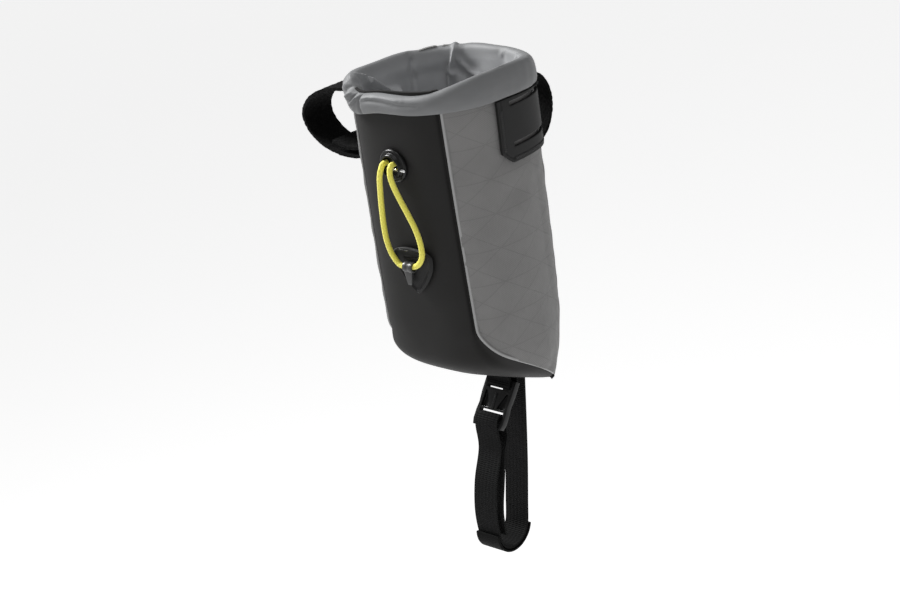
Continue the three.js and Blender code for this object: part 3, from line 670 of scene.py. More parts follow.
def stitches(name: str, ends: Sequence[tuple], radius: float) -> bpy.types.Object:
    """Sew short stitches.

    Args:
        name: the object's name.
        ends: pairs of points, the two ends of each stitch.
        radius: half the thread's thickness.

    Returns:
        All the stitches as one object.
    """
    start_clean()
    bpy.ops.mesh.primitive_uv_sphere_add(segments=8, ring_count=6, radius=1)
    bead = bpy.context.object
    mesh = bead.data
    shape = np.empty(len(mesh.vertices) * 3)
    mesh.vertices.foreach_get("co", shape)
    shape = shape.reshape(-1, 3)
    faces = [tuple(face.vertices) for face in mesh.polygons]
    bpy.ops.object.delete()
    corners, polygons = [], []
    for a, b in ends:
        a, b = np.array(a, float), np.array(b, float)
        run = b - a
        length = np.linalg.norm(run)
        way = run / length
        side = np.cross(way, [0.31, 0.2, 0.93])
        side /= np.linalg.norm(side)
        third = np.cross(way, side)
        base = len(corners) * len(shape)
        x, y, z = shape[:, :1], shape[:, 1:2], shape[:, 2:]
        corners.append((a + b) / 2 + radius * (x * side + y * third) + z * (length / 2 + 0.3 * radius) * way)
        polygons += [tuple(base + k for k in face) for face in faces]
    made = bpy.data.meshes.new(name)
    made.from_pydata(BAG.placed(np.vstack(corners)).tolist(), [], polygons)
    obj = bpy.data.objects.new(name, made)
    bpy.context.collection.objects.link(obj)
    face_out(obj)
    bpy.ops.object.shade_smooth()
    return obj


# Finishes


class Sketch:
    """A short way to lay out a material's nodes."""

    def __init__(self, name: str) -> None:
        """Start a material with its shader.

        Args:
            name: the material's name.
        """
        self.material = bpy.data.materials.new(name)
        self.material.use_nodes = True
        self.tree = self.material.node_tree
        self.shader = self.tree.nodes["Principled BSDF"]

    def node(self, kind: str, links: Optional[dict] = None, **settings: object) -> bpy.types.Node:
        """Add a node.

        Args:
            kind: the node's type.
            links: what goes into each of its sockets, a value or another socket.
            **settings: the node's own settings.

        Returns:
            The new node.
        """
        made = self.tree.nodes.new(kind)
        for name, value in settings.items():
            setattr(made, name, value)
        for name, value in (links or {}).items():
            self.feed(made.inputs[name], value)
        return made

    def feed(self, socket: bpy.types.NodeSocket, value: object) -> None:
        """Link a socket into another, or set its value."""
        if isinstance(value, bpy.types.NodeSocket):
            self.tree.links.new(value, socket)
        else:
            socket.default_value = value

    def math(self, operation: str, *values: object) -> bpy.types.NodeSocket:
        """Work out a number from others."""
        made = self.node("ShaderNodeMath", dict(enumerate(values)), operation=operation)
        return made.outputs[0]

    def place(self, on_cloth: bool) -> bpy.types.NodeSocket:
        """Give the place on the cloth or in the object."""
        return self.node("ShaderNodeTexCoord").outputs["UV" if on_cloth else "Object"]

    def noise(self, place: object, scale: float, detail: float = 3.0) -> bpy.types.NodeSocket:
        """Give a cloudy pattern between 0 and 1."""
        links = {"Vector": place, "Scale": scale, "Detail": detail, "Roughness": 0.6}
        return self.node("ShaderNodeTexNoise", links).outputs["Fac"]

    def blend(self, share: object, low: Sequence[float], high: Sequence[float]) -> bpy.types.NodeSocket:
        """Blend two colours by a share."""
        made = self.node("ShaderNodeMix", data_type="RGBA")
        self.feed(made.inputs["Factor"], share)
        for socket, value in zip([s for s in made.inputs if s.type == "RGBA"], (low, high)):
            self.feed(socket, value)
        return [s for s in made.outputs if s.type == "RGBA"][0]

    def spread(
        self, value: object, low: float, high: float, to_low: float, to_high: float
    ) -> bpy.types.NodeSocket:
        """Map a number from one range to another and keep it there."""
        links = {"Value": value, "From Min": low, "From Max": high, "To Min": to_low, "To Max": to_high}
        return self.node("ShaderNodeMapRange", links).outputs["Result"]

    def bump(
        self, height: object, strength: float, distance: float, under: object = None
    ) -> bpy.types.NodeSocket:
        """Turn a height pattern into a bump, over another bump where there is one."""
        links = {"Height": height, "Strength": strength, "Distance": distance}
        if under is not None:
            links["Normal"] = under
        return self.node("ShaderNodeBump", links).outputs["Normal"]

    def across(self, place: object, way: Sequence[float]) -> bpy.types.NodeSocket:
        """Give how far a place lies in a direction."""
        return self.node("ShaderNodeVectorMath", {0: place, 1: way}, operation="DOT_PRODUCT").outputs["Value"]

    def cover(self, share: object, colour: tuple) -> None:
        """Lay a colour over the one that the cloth has so far."""
        socket = self.shader.inputs["Base Color"]
        self.feed(socket, self.blend(share, socket.links[0].from_socket, colour))

    def lines(self, place: object, way: Sequence[float], pitch: float, width: float) -> bpy.types.NodeSocket:
        """Draw evenly spaced straight threads.

        Args:
            place: the place on the cloth.
            way: direction across the threads.
            pitch: metres from thread to thread.
            width: metres from a thread's middle to its edge.

        Returns:
            1 on a thread and 0 between threads.
        """
        away = self.math("PINGPONG", self.across(place, way), pitch / 2)
        return self.spread(away, 0.0, width, 1.0, 0.0)

    def weave(self, place: object, pitch: float) -> bpy.types.NodeSocket:
        """Give the height of a plain weave of crossing threads."""
        wave = []
        for way in ((1.0, 0.0, 0.0), (0.0, 1.0, 0.0)):
            turns = self.math("MULTIPLY", self.across(place, way), 2 * math.pi / pitch)
            wave.append(self.math("SINE", turns))
        return self.math("MULTIPLY", wave[0], wave[1])


def grey(value: float, warm: float = 0.0) -> tuple:
    """Give a grey with an alpha of one, a little warmer or cooler."""
    return (value * (1 + warm), value, value * (1 - warm), 1.0)


@dataclass(frozen=True)
class ClothFinish:
    """A woven or coated cloth."""

    name: str
    light: tuple
    dark: tuple
    roughness: float = 0.6
    sheen: float = 0.15
    pitch: float = 0.0006
    weave: float = 0.25
    grain: float = 900.0
    grain_bump: float = 0.1
    specular: float = 0.4

    def build(self) -> bpy.types.Material:
        """Make the material."""
        sketch = Sketch(self.name)
        cloth = sketch.place(True)
        patches = sketch.noise(cloth, 55.0, 4.0)
        grain = sketch.noise(cloth, self.grain * 2.2, 2.0)
        mixed = [sketch.math("MULTIPLY", value, part) for value, part in ((patches, 0.55), (grain, 0.45))]
        share = sketch.math("ADD", *mixed)
        sketch.feed(sketch.shader.inputs["Base Color"], sketch.blend(share, self.dark, self.light))
        height = sketch.weave(cloth, self.pitch)
        bump = sketch.bump(height, self.weave, 0.00006)
        bump = sketch.bump(grain, self.grain_bump, 0.00015, bump)
        sketch.feed(sketch.shader.inputs["Normal"], self.extra(sketch, cloth, bump))
        rough = sketch.spread(patches, 0.2, 0.8, self.roughness - 0.05, self.roughness + 0.07)
        sketch.feed(sketch.shader.inputs["Roughness"], rough)
        sketch.shader.inputs["Sheen Weight"].default_value = self.sheen
        sketch.shader.inputs["Sheen Roughness"].default_value = 0.45
        sketch.shader.inputs["Specular IOR Level"].default_value = self.specular
        return sketch.material

    def extra(self, sketch: Sketch, cloth: object, bump: object) -> object:
        """Add what a special cloth has over its weave."""
        return bump


@dataclass(frozen=True)
class RipstopFinish(ClothFinish):
    """Laminated cloth with a faint grid of thicker threads in three directions."""

    grid: float = 0.0175
    slope: float = 32.0
    thread: float = 0.0004
    faint: float = 0.26

    def extra(self, sketch: Sketch, cloth: object, bump: object) -> object:
        """Lay the grid of threads over the weave.

        Args:
            sketch: the material's node layout.
            cloth: the place on the cloth.
            bump: the weave's bump.

        Returns:
            The bump with the grid.
        """
        found = None
        slope = math.radians(self.slope)
        for a, pitch in (
            (math.pi / 2, self.grid),
            (math.pi / 2 + slope, self.grid * math.cos(slope)),
            (math.pi / 2 - slope, self.grid * math.cos(slope)),
        ):
            one = sketch.lines(cloth, (math.cos(a), math.sin(a), 0.0), pitch, self.thread)
            found = one if found is None else sketch.math("MAXIMUM", found, one)
        shade = tuple(0.55 * c for c in self.dark[:3]) + (1.0,)
        sketch.cover(sketch.math("MULTIPLY", found, self.faint), shade)
        return sketch.bump(found, 0.5, 0.00012, bump)


@dataclass(frozen=True)
class EdgingFinish(ClothFinish):
    """Folded cloth along a seam, pale along its outer edge: partly the cut edge's own tone and partly a
    painted highlight where the fold catches light.
    """

    # the pale outer edge is partly the cut edge's own tone and partly a painted highlight
    edge_and_highlight_width: float = 0.0005
    edge: tuple = (0.3, 0.3, 0.3, 1.0)

    def extra(self, sketch: Sketch, cloth: object, bump: object) -> object:
        """Lighten the outer edge with the cut edge's own tone and a painted highlight.

        Args:
            sketch: the material's node layout.
            cloth: the place on the cloth.
            bump: the weave's bump.

        Returns:
            The same bump.
        """
        across = sketch.node("ShaderNodeSeparateXYZ", {"Vector": cloth}).outputs["X"]
        # painted highlight: the pale band along the outer edge is partly the cut edge's tone and partly light
        # caught by the fold
        sketch.cover(sketch.spread(across, self.edge_and_highlight_width, 1.6 * self.edge_and_highlight_width, 1.0, 0.0), self.edge)
        return bump


@dataclass(frozen=True)
class LiningPaintedInsideFinish(ClothFinish):
    """Thin nylon whose face inside the bag has painted light on it, making it paler than its turned-out cuff.
    """

    turn: float = 0.021
    soft: float = 0.004
    # painted light: this paler colour inside the bag stands in for the light that reaches the inner walls
    inside: tuple = (0.36, 0.365, 0.375, 1.0)

    def extra(self, sketch: Sketch, cloth: object, bump: object) -> object:
        """Paint light on the cloth beyond the lip, making it paler.

        Args:
            sketch: the material's node layout.
            cloth: the place on the cloth.
            bump: the weave's bump.

        Returns:
            The same bump.
        """
        along = sketch.node("ShaderNodeSeparateXYZ", {"Vector": cloth}).outputs["Y"]
        share = sketch.spread(along, self.turn - self.soft, self.turn + self.soft, 0.0, 0.85)
        # painted light: lays the paler inside colour over the cloth beyond the lip
        sketch.cover(share, self.inside)
        return bump


@dataclass(frozen=True)
class WebbingFinish(ClothFinish):
    """Narrow woven tape with ribs across it."""

    rib: float = 0.0011

    def extra(self, sketch: Sketch, cloth: object, bump: object) -> object:
        """Rib the tape.

        Args:
            sketch: the material's node layout.
            cloth: the place on the tape.
            bump: the weave's bump.

        Returns:
            The bump with the ribs.
        """
        ribs = sketch.lines(cloth, (0.0, 1.0, 0.0), self.rib, self.rib / 2)
        rows = sketch.lines(cloth, (1.0, 0.0, 0.0), 2.2 * self.rib, self.rib)
        return sketch.bump(sketch.math("ADD", ribs, sketch.math("MULTIPLY", rows, 0.4)), 0.8, 0.0003, bump)


@dataclass(frozen=True)
class PileFinish:
    """Hook-and-loop pile."""

    name: str
    light: tuple
    dark: tuple

    def build(self) -> bpy.types.Material:
        """Make the material."""
        sketch = Sketch(self.name)
        cloth = sketch.place(True)
        pile = sketch.noise(cloth, 1900.0, 4.0)
        tufts = sketch.noise(cloth, 420.0, 2.0)
        share = sketch.spread(sketch.math("MULTIPLY", pile, tufts), 0.1, 0.5, 0, 1)
        sketch.feed(sketch.shader.inputs["Base Color"], sketch.blend(share, self.dark, self.light))
        bump = sketch.bump(tufts, 0.7, 0.0006)
        sketch.feed(sketch.shader.inputs["Normal"], sketch.bump(pile, 0.9, 0.0004, bump))
        sketch.shader.inputs["Roughness"].default_value = 0.95
        sketch.shader.inputs["Sheen Weight"].default_value = 0.03
        sketch.shader.inputs["Specular IOR Level"].default_value = 0.04
        return sketch.material


@dataclass(frozen=True)
class MouldedFinish:
    """Moulded plastic or metal with a fine surface."""

    name: str
    light: tuple
    dark: tuple
    roughness: float
    metal: float = 0.0
    specular: float = 0.5

    def build(self) -> bpy.types.Material:
        """Make the material."""
        sketch = Sketch(self.name)
        place = sketch.place(False)
        cloud = sketch.noise(place, 260.0, 4.0)
        grain = sketch.noise(place, 2600.0, 2.0)
        sketch.feed(sketch.shader.inputs["Base Color"], sketch.blend(cloud, self.dark, self.light))
        rough = sketch.spread(cloud, 0.3, 0.7, self.roughness - 0.06, self.roughness + 0.08)
        sketch.feed(sketch.shader.inputs["Roughness"], rough)
        sketch.feed(sketch.shader.inputs["Normal"], sketch.bump(grain, 0.12, 0.0001))
        sketch.shader.inputs["Metallic"].default_value = self.metal
        sketch.shader.inputs["Specular IOR Level"].default_value = self.specular
        return sketch.material


@dataclass(frozen=True)
class BraidFinish:
    """Braided cover of an elastic cord."""

    name: str
    light: tuple
    dark: tuple
    pitch: float = 0.0015

    def build(self) -> bpy.types.Material:
        """Make the material."""
        sketch = Sketch(self.name)
        cloth = sketch.place(True)
        one = sketch.lines(cloth, (0.8, 0.6, 0.0), self.pitch, self.pitch / 2)
        two = sketch.lines(cloth, (-0.8, 0.6, 0.0), self.pitch, self.pitch / 2)
        braid = sketch.math("MAXIMUM", one, two)
        soft = sketch.noise(cloth, 900.0, 3.0)
        share = sketch.math("MULTIPLY", sketch.math("ADD", braid, soft), 0.6)
        sketch.feed(sketch.shader.inputs["Base Color"], sketch.blend(share, self.dark, self.light))
        sketch.feed(sketch.shader.inputs["Normal"], sketch.bump(braid, 0.55, 0.00025))
        sketch.shader.inputs["Roughness"].default_value = 0.6
        sketch.shader.inputs["Sheen Weight"].default_value = 0.2
        return sketch.material


@dataclass(frozen=True)
class Palette:
    """All the finishes on the pouch, made once."""

    panel: bpy.types.Material
    ripstop: bpy.types.Material
    edging: bpy.types.Material
    lining: bpy.types.Material
    patch: bpy.types.Material
    pile: bpy.types.Material
    webbing: bpy.types.Material
    sleeve: bpy.types.Material
    plastic: bpy.types.Material
    satin: bpy.types.Material
    cord: bpy.types.Material
    pin: bpy.types.Material
    black_thread: bpy.types.Material
    grey_thread: bpy.types.Material

    @classmethod
    def mixed(cls) -> "Palette":
        """Make every finish."""
        return cls(
            panel=ClothFinish(
                "black_panel_cloth", grey(0.017, 0.03), grey(0.012, 0.03), roughness=0.6, sheen=0.01,
                pitch=0.0005, weave=0.12, grain=700.0, grain_bump=0.12, specular=0.14,
            ).build(),
            ripstop=RipstopFinish(
                "grey_ripstop_cloth", grey(0.225, 0.012), grey(0.125, 0.012), roughness=0.55, sheen=0.08,
                pitch=0.0011, weave=0.9, grain=1500.0, grain_bump=0.35, specular=0.3,
            ).build(),
            edging=EdgingFinish(
                "grey_edging_cloth", grey(0.2, 0.01), grey(0.16, 0.01), roughness=0.55, sheen=0.1
            ).build(),
            lining=LiningPaintedInsideFinish(
                "light_lining_cloth", grey(0.17, -0.02), grey(0.135, -0.02), roughness=0.5, sheen=0.1,
                pitch=0.00045, weave=0.22, grain=1300.0, grain_bump=0.08, specular=0.2,
            ).build(),
            patch=ClothFinish(
                "black_patch_cloth", grey(0.019), grey(0.013), roughness=0.55, sheen=0.01,
                pitch=0.0005, weave=0.12, grain=800.0, grain_bump=0.1, specular=0.16,
            ).build(),
            pile=PileFinish("black_pile", grey(0.006), grey(0.0015)).build(),
            webbing=WebbingFinish(
                "black_webbing", grey(0.006, -0.02), grey(0.002), roughness=0.7, sheen=0.0, specular=0.08
            ).build(),
            sleeve=ClothFinish(
                "black_sleeve_cloth", grey(0.005), grey(0.003), roughness=0.7, sheen=0.0, specular=0.06
            ).build(),
            plastic=MouldedFinish(
                "black_plastic_gloss", grey(0.008), grey(0.004), roughness=0.3, specular=0.28
            ).build(),
            satin=MouldedFinish("dark_satin_plastic", grey(0.045), grey(0.03), roughness=0.36).build(),
            cord=BraidFinish("yellow_braid", (0.84, 0.77, 0.11, 1), (0.6, 0.55, 0.06, 1)).build(),
            pin=MouldedFinish("pin_steel_polish", grey(0.8), grey(0.7), roughness=0.22, metal=1.0).build(),
            black_thread=ClothFinish("black_thread", grey(0.03), grey(0.012), sheen=0.2).build(),
            grey_thread=ClothFinish("grey_thread", grey(0.3), grey(0.22), sheen=0.2).build(),
        )


def declare_sheet(obj: bpy.types.Object, flat: np.ndarray) -> None:
    """Say how big the flat cloth of a piece is.

    Args:
        obj: the piece, a thin double layer.
        flat: its flat places in millimetres.
    """
    width, length = np.ptp(flat.reshape(-1, 2), axis=0) * MM
    area = sum(face.area for face in obj.data.polygons) / 2
    if area > width * length:
        length = area / width
    LOG.info("%s: cloth %.0f by %.0f mm, %.0f square cm", obj.name, width / MM, length / MM, area * 1e4)


def dress(obj: bpy.types.Object, material: bpy.types.Material) -> bpy.types.Object:
    """Give a piece its material and the body that it rides on.

    Args:
        obj: the piece.
        material: its finish.

    Returns:
        The same piece.
    """
    obj.data.materials.clear()
    obj.data.materials.append(material)
    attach(obj, "root")
    LOG.info("%s: %d faces", obj.name, len(obj.data.polygons))
    return obj


# Sub-assemblies


@dataclass
class Studio:
    """The camera, floor and lights."""

    azimuth: float = 45.3
    elevation: float = 19.8
    roll: float = 7.0
    distance: float = 1.3
    look_at: tuple = (0.0, -0.0545, -0.060)
    lens: float = 104.0
    shift: tuple = (-0.0128, -0.0556)
    floor: float = -1.6
    floor_size: float = 60.0
    floor_glow: float = 0.6
    air: float = 0.3
    aim: tuple = (0.0, -0.05, -0.06)
    # name, place, size, power
    lights: tuple = (
        ("key_light", (-1.45, -0.4, 1.15), 0.7, 66.0),
        ("fill_light", (0.8, -1.7, 0.4), 0.8, 3.0),
        ("top_light", (0.2, -0.2, 1.7), 1.0, 9.0),
    )

    def camera(self) -> None:
        """Put the camera where the picture was taken from."""
        a, e, r = [math.radians(v) for v in (self.azimuth, self.elevation, self.roll)]
        back = Vector((math.sin(a) * math.cos(e), -math.cos(a) * math.cos(e), math.sin(e)))
        right = Vector((math.cos(a), math.sin(a), 0))
        up = back.cross(right)
        across = right * math.cos(r) - up * math.sin(r)
        upward = right * math.sin(r) + up * math.cos(r)
        eye = Vector(self.look_at) + back * self.distance
        bpy.ops.object.camera_add()
        camera = bpy.context.object
        camera.name = "picture_camera"
        turn = Matrix((across, upward, back)).transposed().to_4x4()
        camera.matrix_world = Matrix.Translation(eye) @ turn
        camera.data.lens = self.lens
        camera.data.sensor_width = 36.0
        camera.data.shift_x, camera.data.shift_y = self.shift
        camera.data.clip_end = 100
        bpy.context.scene.camera = camera

    def stage(self) -> None:
        """Lay the floor and set the lights."""
        start_clean()
        bpy.ops.mesh.primitive_plane_add(size=self.floor_size, location=(0, 0, self.floor))
        floor = bpy.context.object
        floor.name = "floor"
        sketch = Sketch("pale_floor")
        place = sketch.place(False)
        share = sketch.noise(place, 0.4, 2.0)
        sketch.feed(sketch.shader.inputs["Base Color"], sketch.blend(share, grey(0.93), grey(0.96)))
        sketch.shader.inputs["Roughness"].default_value = 0.9
        sketch.shader.inputs["Emission Color"].default_value = grey(1.0)
        sketch.shader.inputs["Emission Strength"].default_value = self.floor_glow
        floor.data.materials.append(sketch.material)
        world = bpy.context.scene.world or bpy.data.worlds.new("studio_air")
        bpy.context.scene.world = world
        world.use_nodes = True
        world.node_tree.nodes["Background"].inputs["Color"].default_value = (1, 1, 1, 1)
        world.node_tree.nodes["Background"].inputs["Strength"].default_value = self.air
        bpy.context.scene.view_settings.view_transform = "Standard"
        for name, place, size, power in self.lights:
            bpy.ops.object.light_add(type="AREA", location=place)
            light = bpy.context.object
            light.name = name
            light.data.size = size
            light.data.energy = power
            way = Vector(self.aim) - Vector(place)
            light.rotation_euler = way.to_track_quat("-Z", "Y").to_euler()


@dataclass
class ElasticLoop:
    """The yellow cord with its eyelet, pin, pull and keeper."""

    cord: float = 2.8
    braid: float = 0.12
    eyelet_radius: float = 8.6
    eyelet_height: float = -42.8
    eyelet_deep: float = 3.6
    shift: float = 0.3
    recess: float = 5.2
    recess_floor: float = 1.2
    lay: float = 0.45
    gap: float = 0.3
    pull_out: float = 4.8
    pull_down: float = 51.8
    tongue_thick: float = 1.5
    tongue_long: float = 9.5
    pull_left: float = -3.9
    pull_right: float = 3.6
    barrel: float = 2.75
    keeper_top: float = -85.5
    keeper_shift: float = 3.0
    keeper_width: float = 25.5
    keeper_height: float = 24.5
    # down, half width
    shield: Rows = (
        (0, 0.62),
        (0.05, 0.86),
        (0.13, 1),
        (0.4, 0.96),
        (0.62, 0.74),
        (0.82, 0.44),
        (0.95, 0.16),
        (1, 0.05),
    )
    # across, out, down
    route: Rows = (
        (-3.2, 1.95, -1.7),
        (-3.2, 4.95, -1.4),
        (-3.4, 6.3, 0.4),
        (-4.6, 7.0, 4.6),
        (-6.2, 6.6, 11),
        (-8.0, 5.9, 18.5),
        (-9.4, 5.3, 26),
        (-10.2, 5.0, 33),
        (-10.0, 4.9, 40),
        (-8.0, 4.9, 46.6),
        (-3.9, 4.8, 51.5),
        (-0.15, 4.8, 52),
        (3.6, 4.8, 51.8),
        (8.6, 4.6, 50),
        (11.8, 4.2, 45.4),
        (12.2, 4.0, 39.6),
        (10.6, 3.8, 32),
        (7.6, 4.1, 24),
        (4.6, 4.9, 16),
        (2.9, 6, 9),
        (2.4, 6.6, 4),
        (2.4, 6.2, 0.4),
        (2.4, 4.95, -1.4),
        (2.4, 1.95, -1.7),
    )

    def points(self) -> np.ndarray:
        """Give the cord's listed points in millimetres."""
        rows = np.array(self.route)
        return BAG.front(rows[:, 0] + self.shift, self.eyelet_height - rows[:, 2], rows[:, 1])

    def on_front(self, obj: bpy.types.Object, x: float, z: float, out: float) -> None:
        """Stand a piece that was made round Z on the front panel.

        Args:
            obj: the piece.
            x: millimetres across.
            z: height in millimetres.
            out: distance out from the cloth.
        """
        place = Vector(BAG.placed(BAG.front(x, z, out)))
        put(obj, Matrix.Translation(place) @ Matrix.Rotation(math.pi / 2 + BAG.lean(z), 4, "X"))

    def make_cord(self, palette: Palette) -> bpy.types.Object:
        line = evenly(smooth_line(self.points(), 10), 0.3)
        obj = tube("yellow_cord", line, self.cord / 2, sides=20, relief=self.braid)
        dress(obj, palette.cord)
        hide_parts("elastic_cord")
        return obj

    def declare(self) -> None:
        """Work out the cord's smoothed line, which nothing then uses."""
        line = smooth_line(self.points(), 10)

    def make_eyelet(self, palette: Palette) -> None:
        """Make the round eyelet with its ridges, and the pin across it."""
        r, inner, deep = self.eyelet_radius, self.recess, self.eyelet_deep
        profile = (
            (r - 0.15, 0.0), (r, 0.25), (r, 0.8), (r - 0.25, 1.35), (r - 0.8, 1.8), (r - 1.2, 1.85),
            (r - 1.5, 1.65), (r - 1.75, 1.6), (r - 2.0, 1.9), (inner + 1.25, 3.0), (inner + 1.05, 3.35),
            (inner + 0.75, deep), (inner + 0.4, deep), (inner + 0.15, 3.4), (inner, 3.0),
            (inner - 0.1, 1.6), (inner - 0.5, self.recess_floor), (0.6, self.recess_floor),
        )
        obj = turned("eyelet_cover", profile, 72)
        smooth(obj, 70)
        self.on_front(obj, self.shift, self.eyelet_height, self.lay)
        dress(obj, palette.plastic)
        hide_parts("cord_eyelet")
        half = self.recess - self.gap - 0.3
        pin = turned("eyelet_bar", ((0.45, -half), (0.7, -half + 0.25), (0.7, half - 0.25), (0.45, half)), 24)
        smooth(pin, 60)
        out = self.lay + self.recess_floor + self.gap + 0.8
        place = Vector(BAG.placed(BAG.front(self.shift, self.eyelet_height - 1.2, out)))
        put(pin, Matrix.Translation(place) @ Matrix.Rotation(math.pi / 2, 4, "Y"))
        dress(pin, palette.pin)
        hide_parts("eyelet_pin")

    def make_pull(self, palette: Palette) -> bpy.types.Object:
        """Make the folded pull that the cord's lower bend runs through."""
        length = self.pull_right - self.pull_left - 1.4
        half = length / 2
        big, neck = self.barrel, self.barrel * 0.86
        bore = self.cord / 2 + 0.35
        profile = (
            (bore, -half), (big * 0.8, -half), (big * 0.97, -half + 0.25), (big, -half + 0.9), (big, -0.9),
            (neck, -0.25), (neck, 0.25), (big, 0.9), (big, half - 0.9), (big * 0.97, half - 0.25),
            (big * 0.8, half), (bore, half),
        )
        barrel = turned("pull_barrel", profile, 40)
        only(barrel)
        bpy.ops.object.mode_set(mode="EDIT")
        bpy.ops.mesh.select_all(action="DESELECT")
        bpy.ops.object.mode_set(mode="OBJECT")
        for face in barrel.data.polygons:
            face.select = len(face.vertices) > 8
        bpy.ops.object.mode_set(mode="EDIT")
        bpy.ops.mesh.select_mode(type="FACE")
        bpy.ops.mesh.bridge_edge_loops()
        bpy.ops.object.mode_set(mode="OBJECT")
        face_out(barrel)
        start_clean()
        bpy.ops.mesh.primitive_cube_add(size=1)
        tongue = bpy.context.object
        tongue.scale = (length * MM, self.tongue_thick * MM, self.tongue_long * MM)
        bpy.ops.object.transform_apply(scale=True)
        bpy.ops.object.mode_set(mode="EDIT")
        bpy.ops.mesh.select_all(action="SELECT")
        bpy.ops.mesh.subdivide(number_cuts=5)
        bpy.ops.object.mode_set(mode="OBJECT")
        for vertex in tongue.data.vertices:
            share = 0.5 - vertex.co.z / (self.tongue_long * MM)
            vertex.co.x = vertex.co.x * (1 - 0.6 * share ** 1.2) + 0.06 * length * MM * share
            vertex.co.y *= 1 - 0.25 * share
        put(barrel, Matrix.Rotation(math.pi / 2, 4, "Y"))
        put(tongue, Matrix.Translation(Vector((0, 1.7, -5.6)) * MM))
        apply_modifier(tongue, "BEVEL", width=0.3 * MM, segments=2, limit_method="ANGLE")
        obj = joined("cord_pull", [barrel, tongue])
        smooth(obj, 45)
        x = (self.pull_left + self.pull_right) / 2 + self.shift
        place = BAG.front(x, self.eyelet_height - self.pull_down, self.pull_out)
        put(obj, Matrix.Translation(Vector(BAG.placed(place))))
        dress(obj, palette.satin)
        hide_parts("keeper_tab")
        return obj

    def make_keeper(self, palette: Palette) -> None:
        """Make the shield-shaped patch with its raised border and stitches."""
        v, u = np.meshgrid(np.linspace(0, 1, 49), np.linspace(-1, 1, 49), indexing="ij")
        reach = read_rows(self.shield, v)[..., 0] * self.keeper_width / 2
        x = self.keeper_shift + u * reach
        z = self.keeper_top - v * self.keeper_height - 0.9 * np.abs(u) ** 2 * (1 - v) ** 4
        edge = np.minimum((1 - np.abs(u)) * reach * 0.82, np.minimum(v, 1 - v) * self.keeper_height)
        border = np.exp(-((edge - 1.1) / 0.85) ** 2)
        from_slot = (v - 0.24 + 0.03 * np.cos(u * 3)) * self.keeper_height
        slot = np.exp(-((from_slot / 0.45) ** 2)) * (np.abs(u) < 0.42)
        rise = 1.0 + 1.0 * border + 0.25 * smooth_step(edge / 1.2) - 0.6 * slot
        points = BAG.front(x, z, self.lay + rise)
        flat = np.stack([x, -z], axis=-1)
        obj = Cloth("keeper_shield", points, flat, outward=False).build(1, 1.1)
        dress(obj, palette.patch)
        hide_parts("keeper_patch")
        ends = []
        for start in (-2.4, 0.9):
            for k in range(3):
                a = BAG.front(start + k * 0.9 - 2, self.keeper_top - 1.5, self.lay + 2.25)
                b = BAG.front(start + k * 0.9 - 1.4, self.keeper_top - 1.5, self.lay + 2.25)
                ends.append((a, b))
        thread = stitches("keeper_stitches", ends, 0.16)
        dress(thread, palette.grey_thread)

    def build(self, palette: Palette) -> None:
        """Make every piece of the cord loop."""
        cord = self.make_cord(palette)
        self.make_eyelet(palette)
        pull = self.make_pull(palette)
        self.declare()
        self.make_keeper(palette)


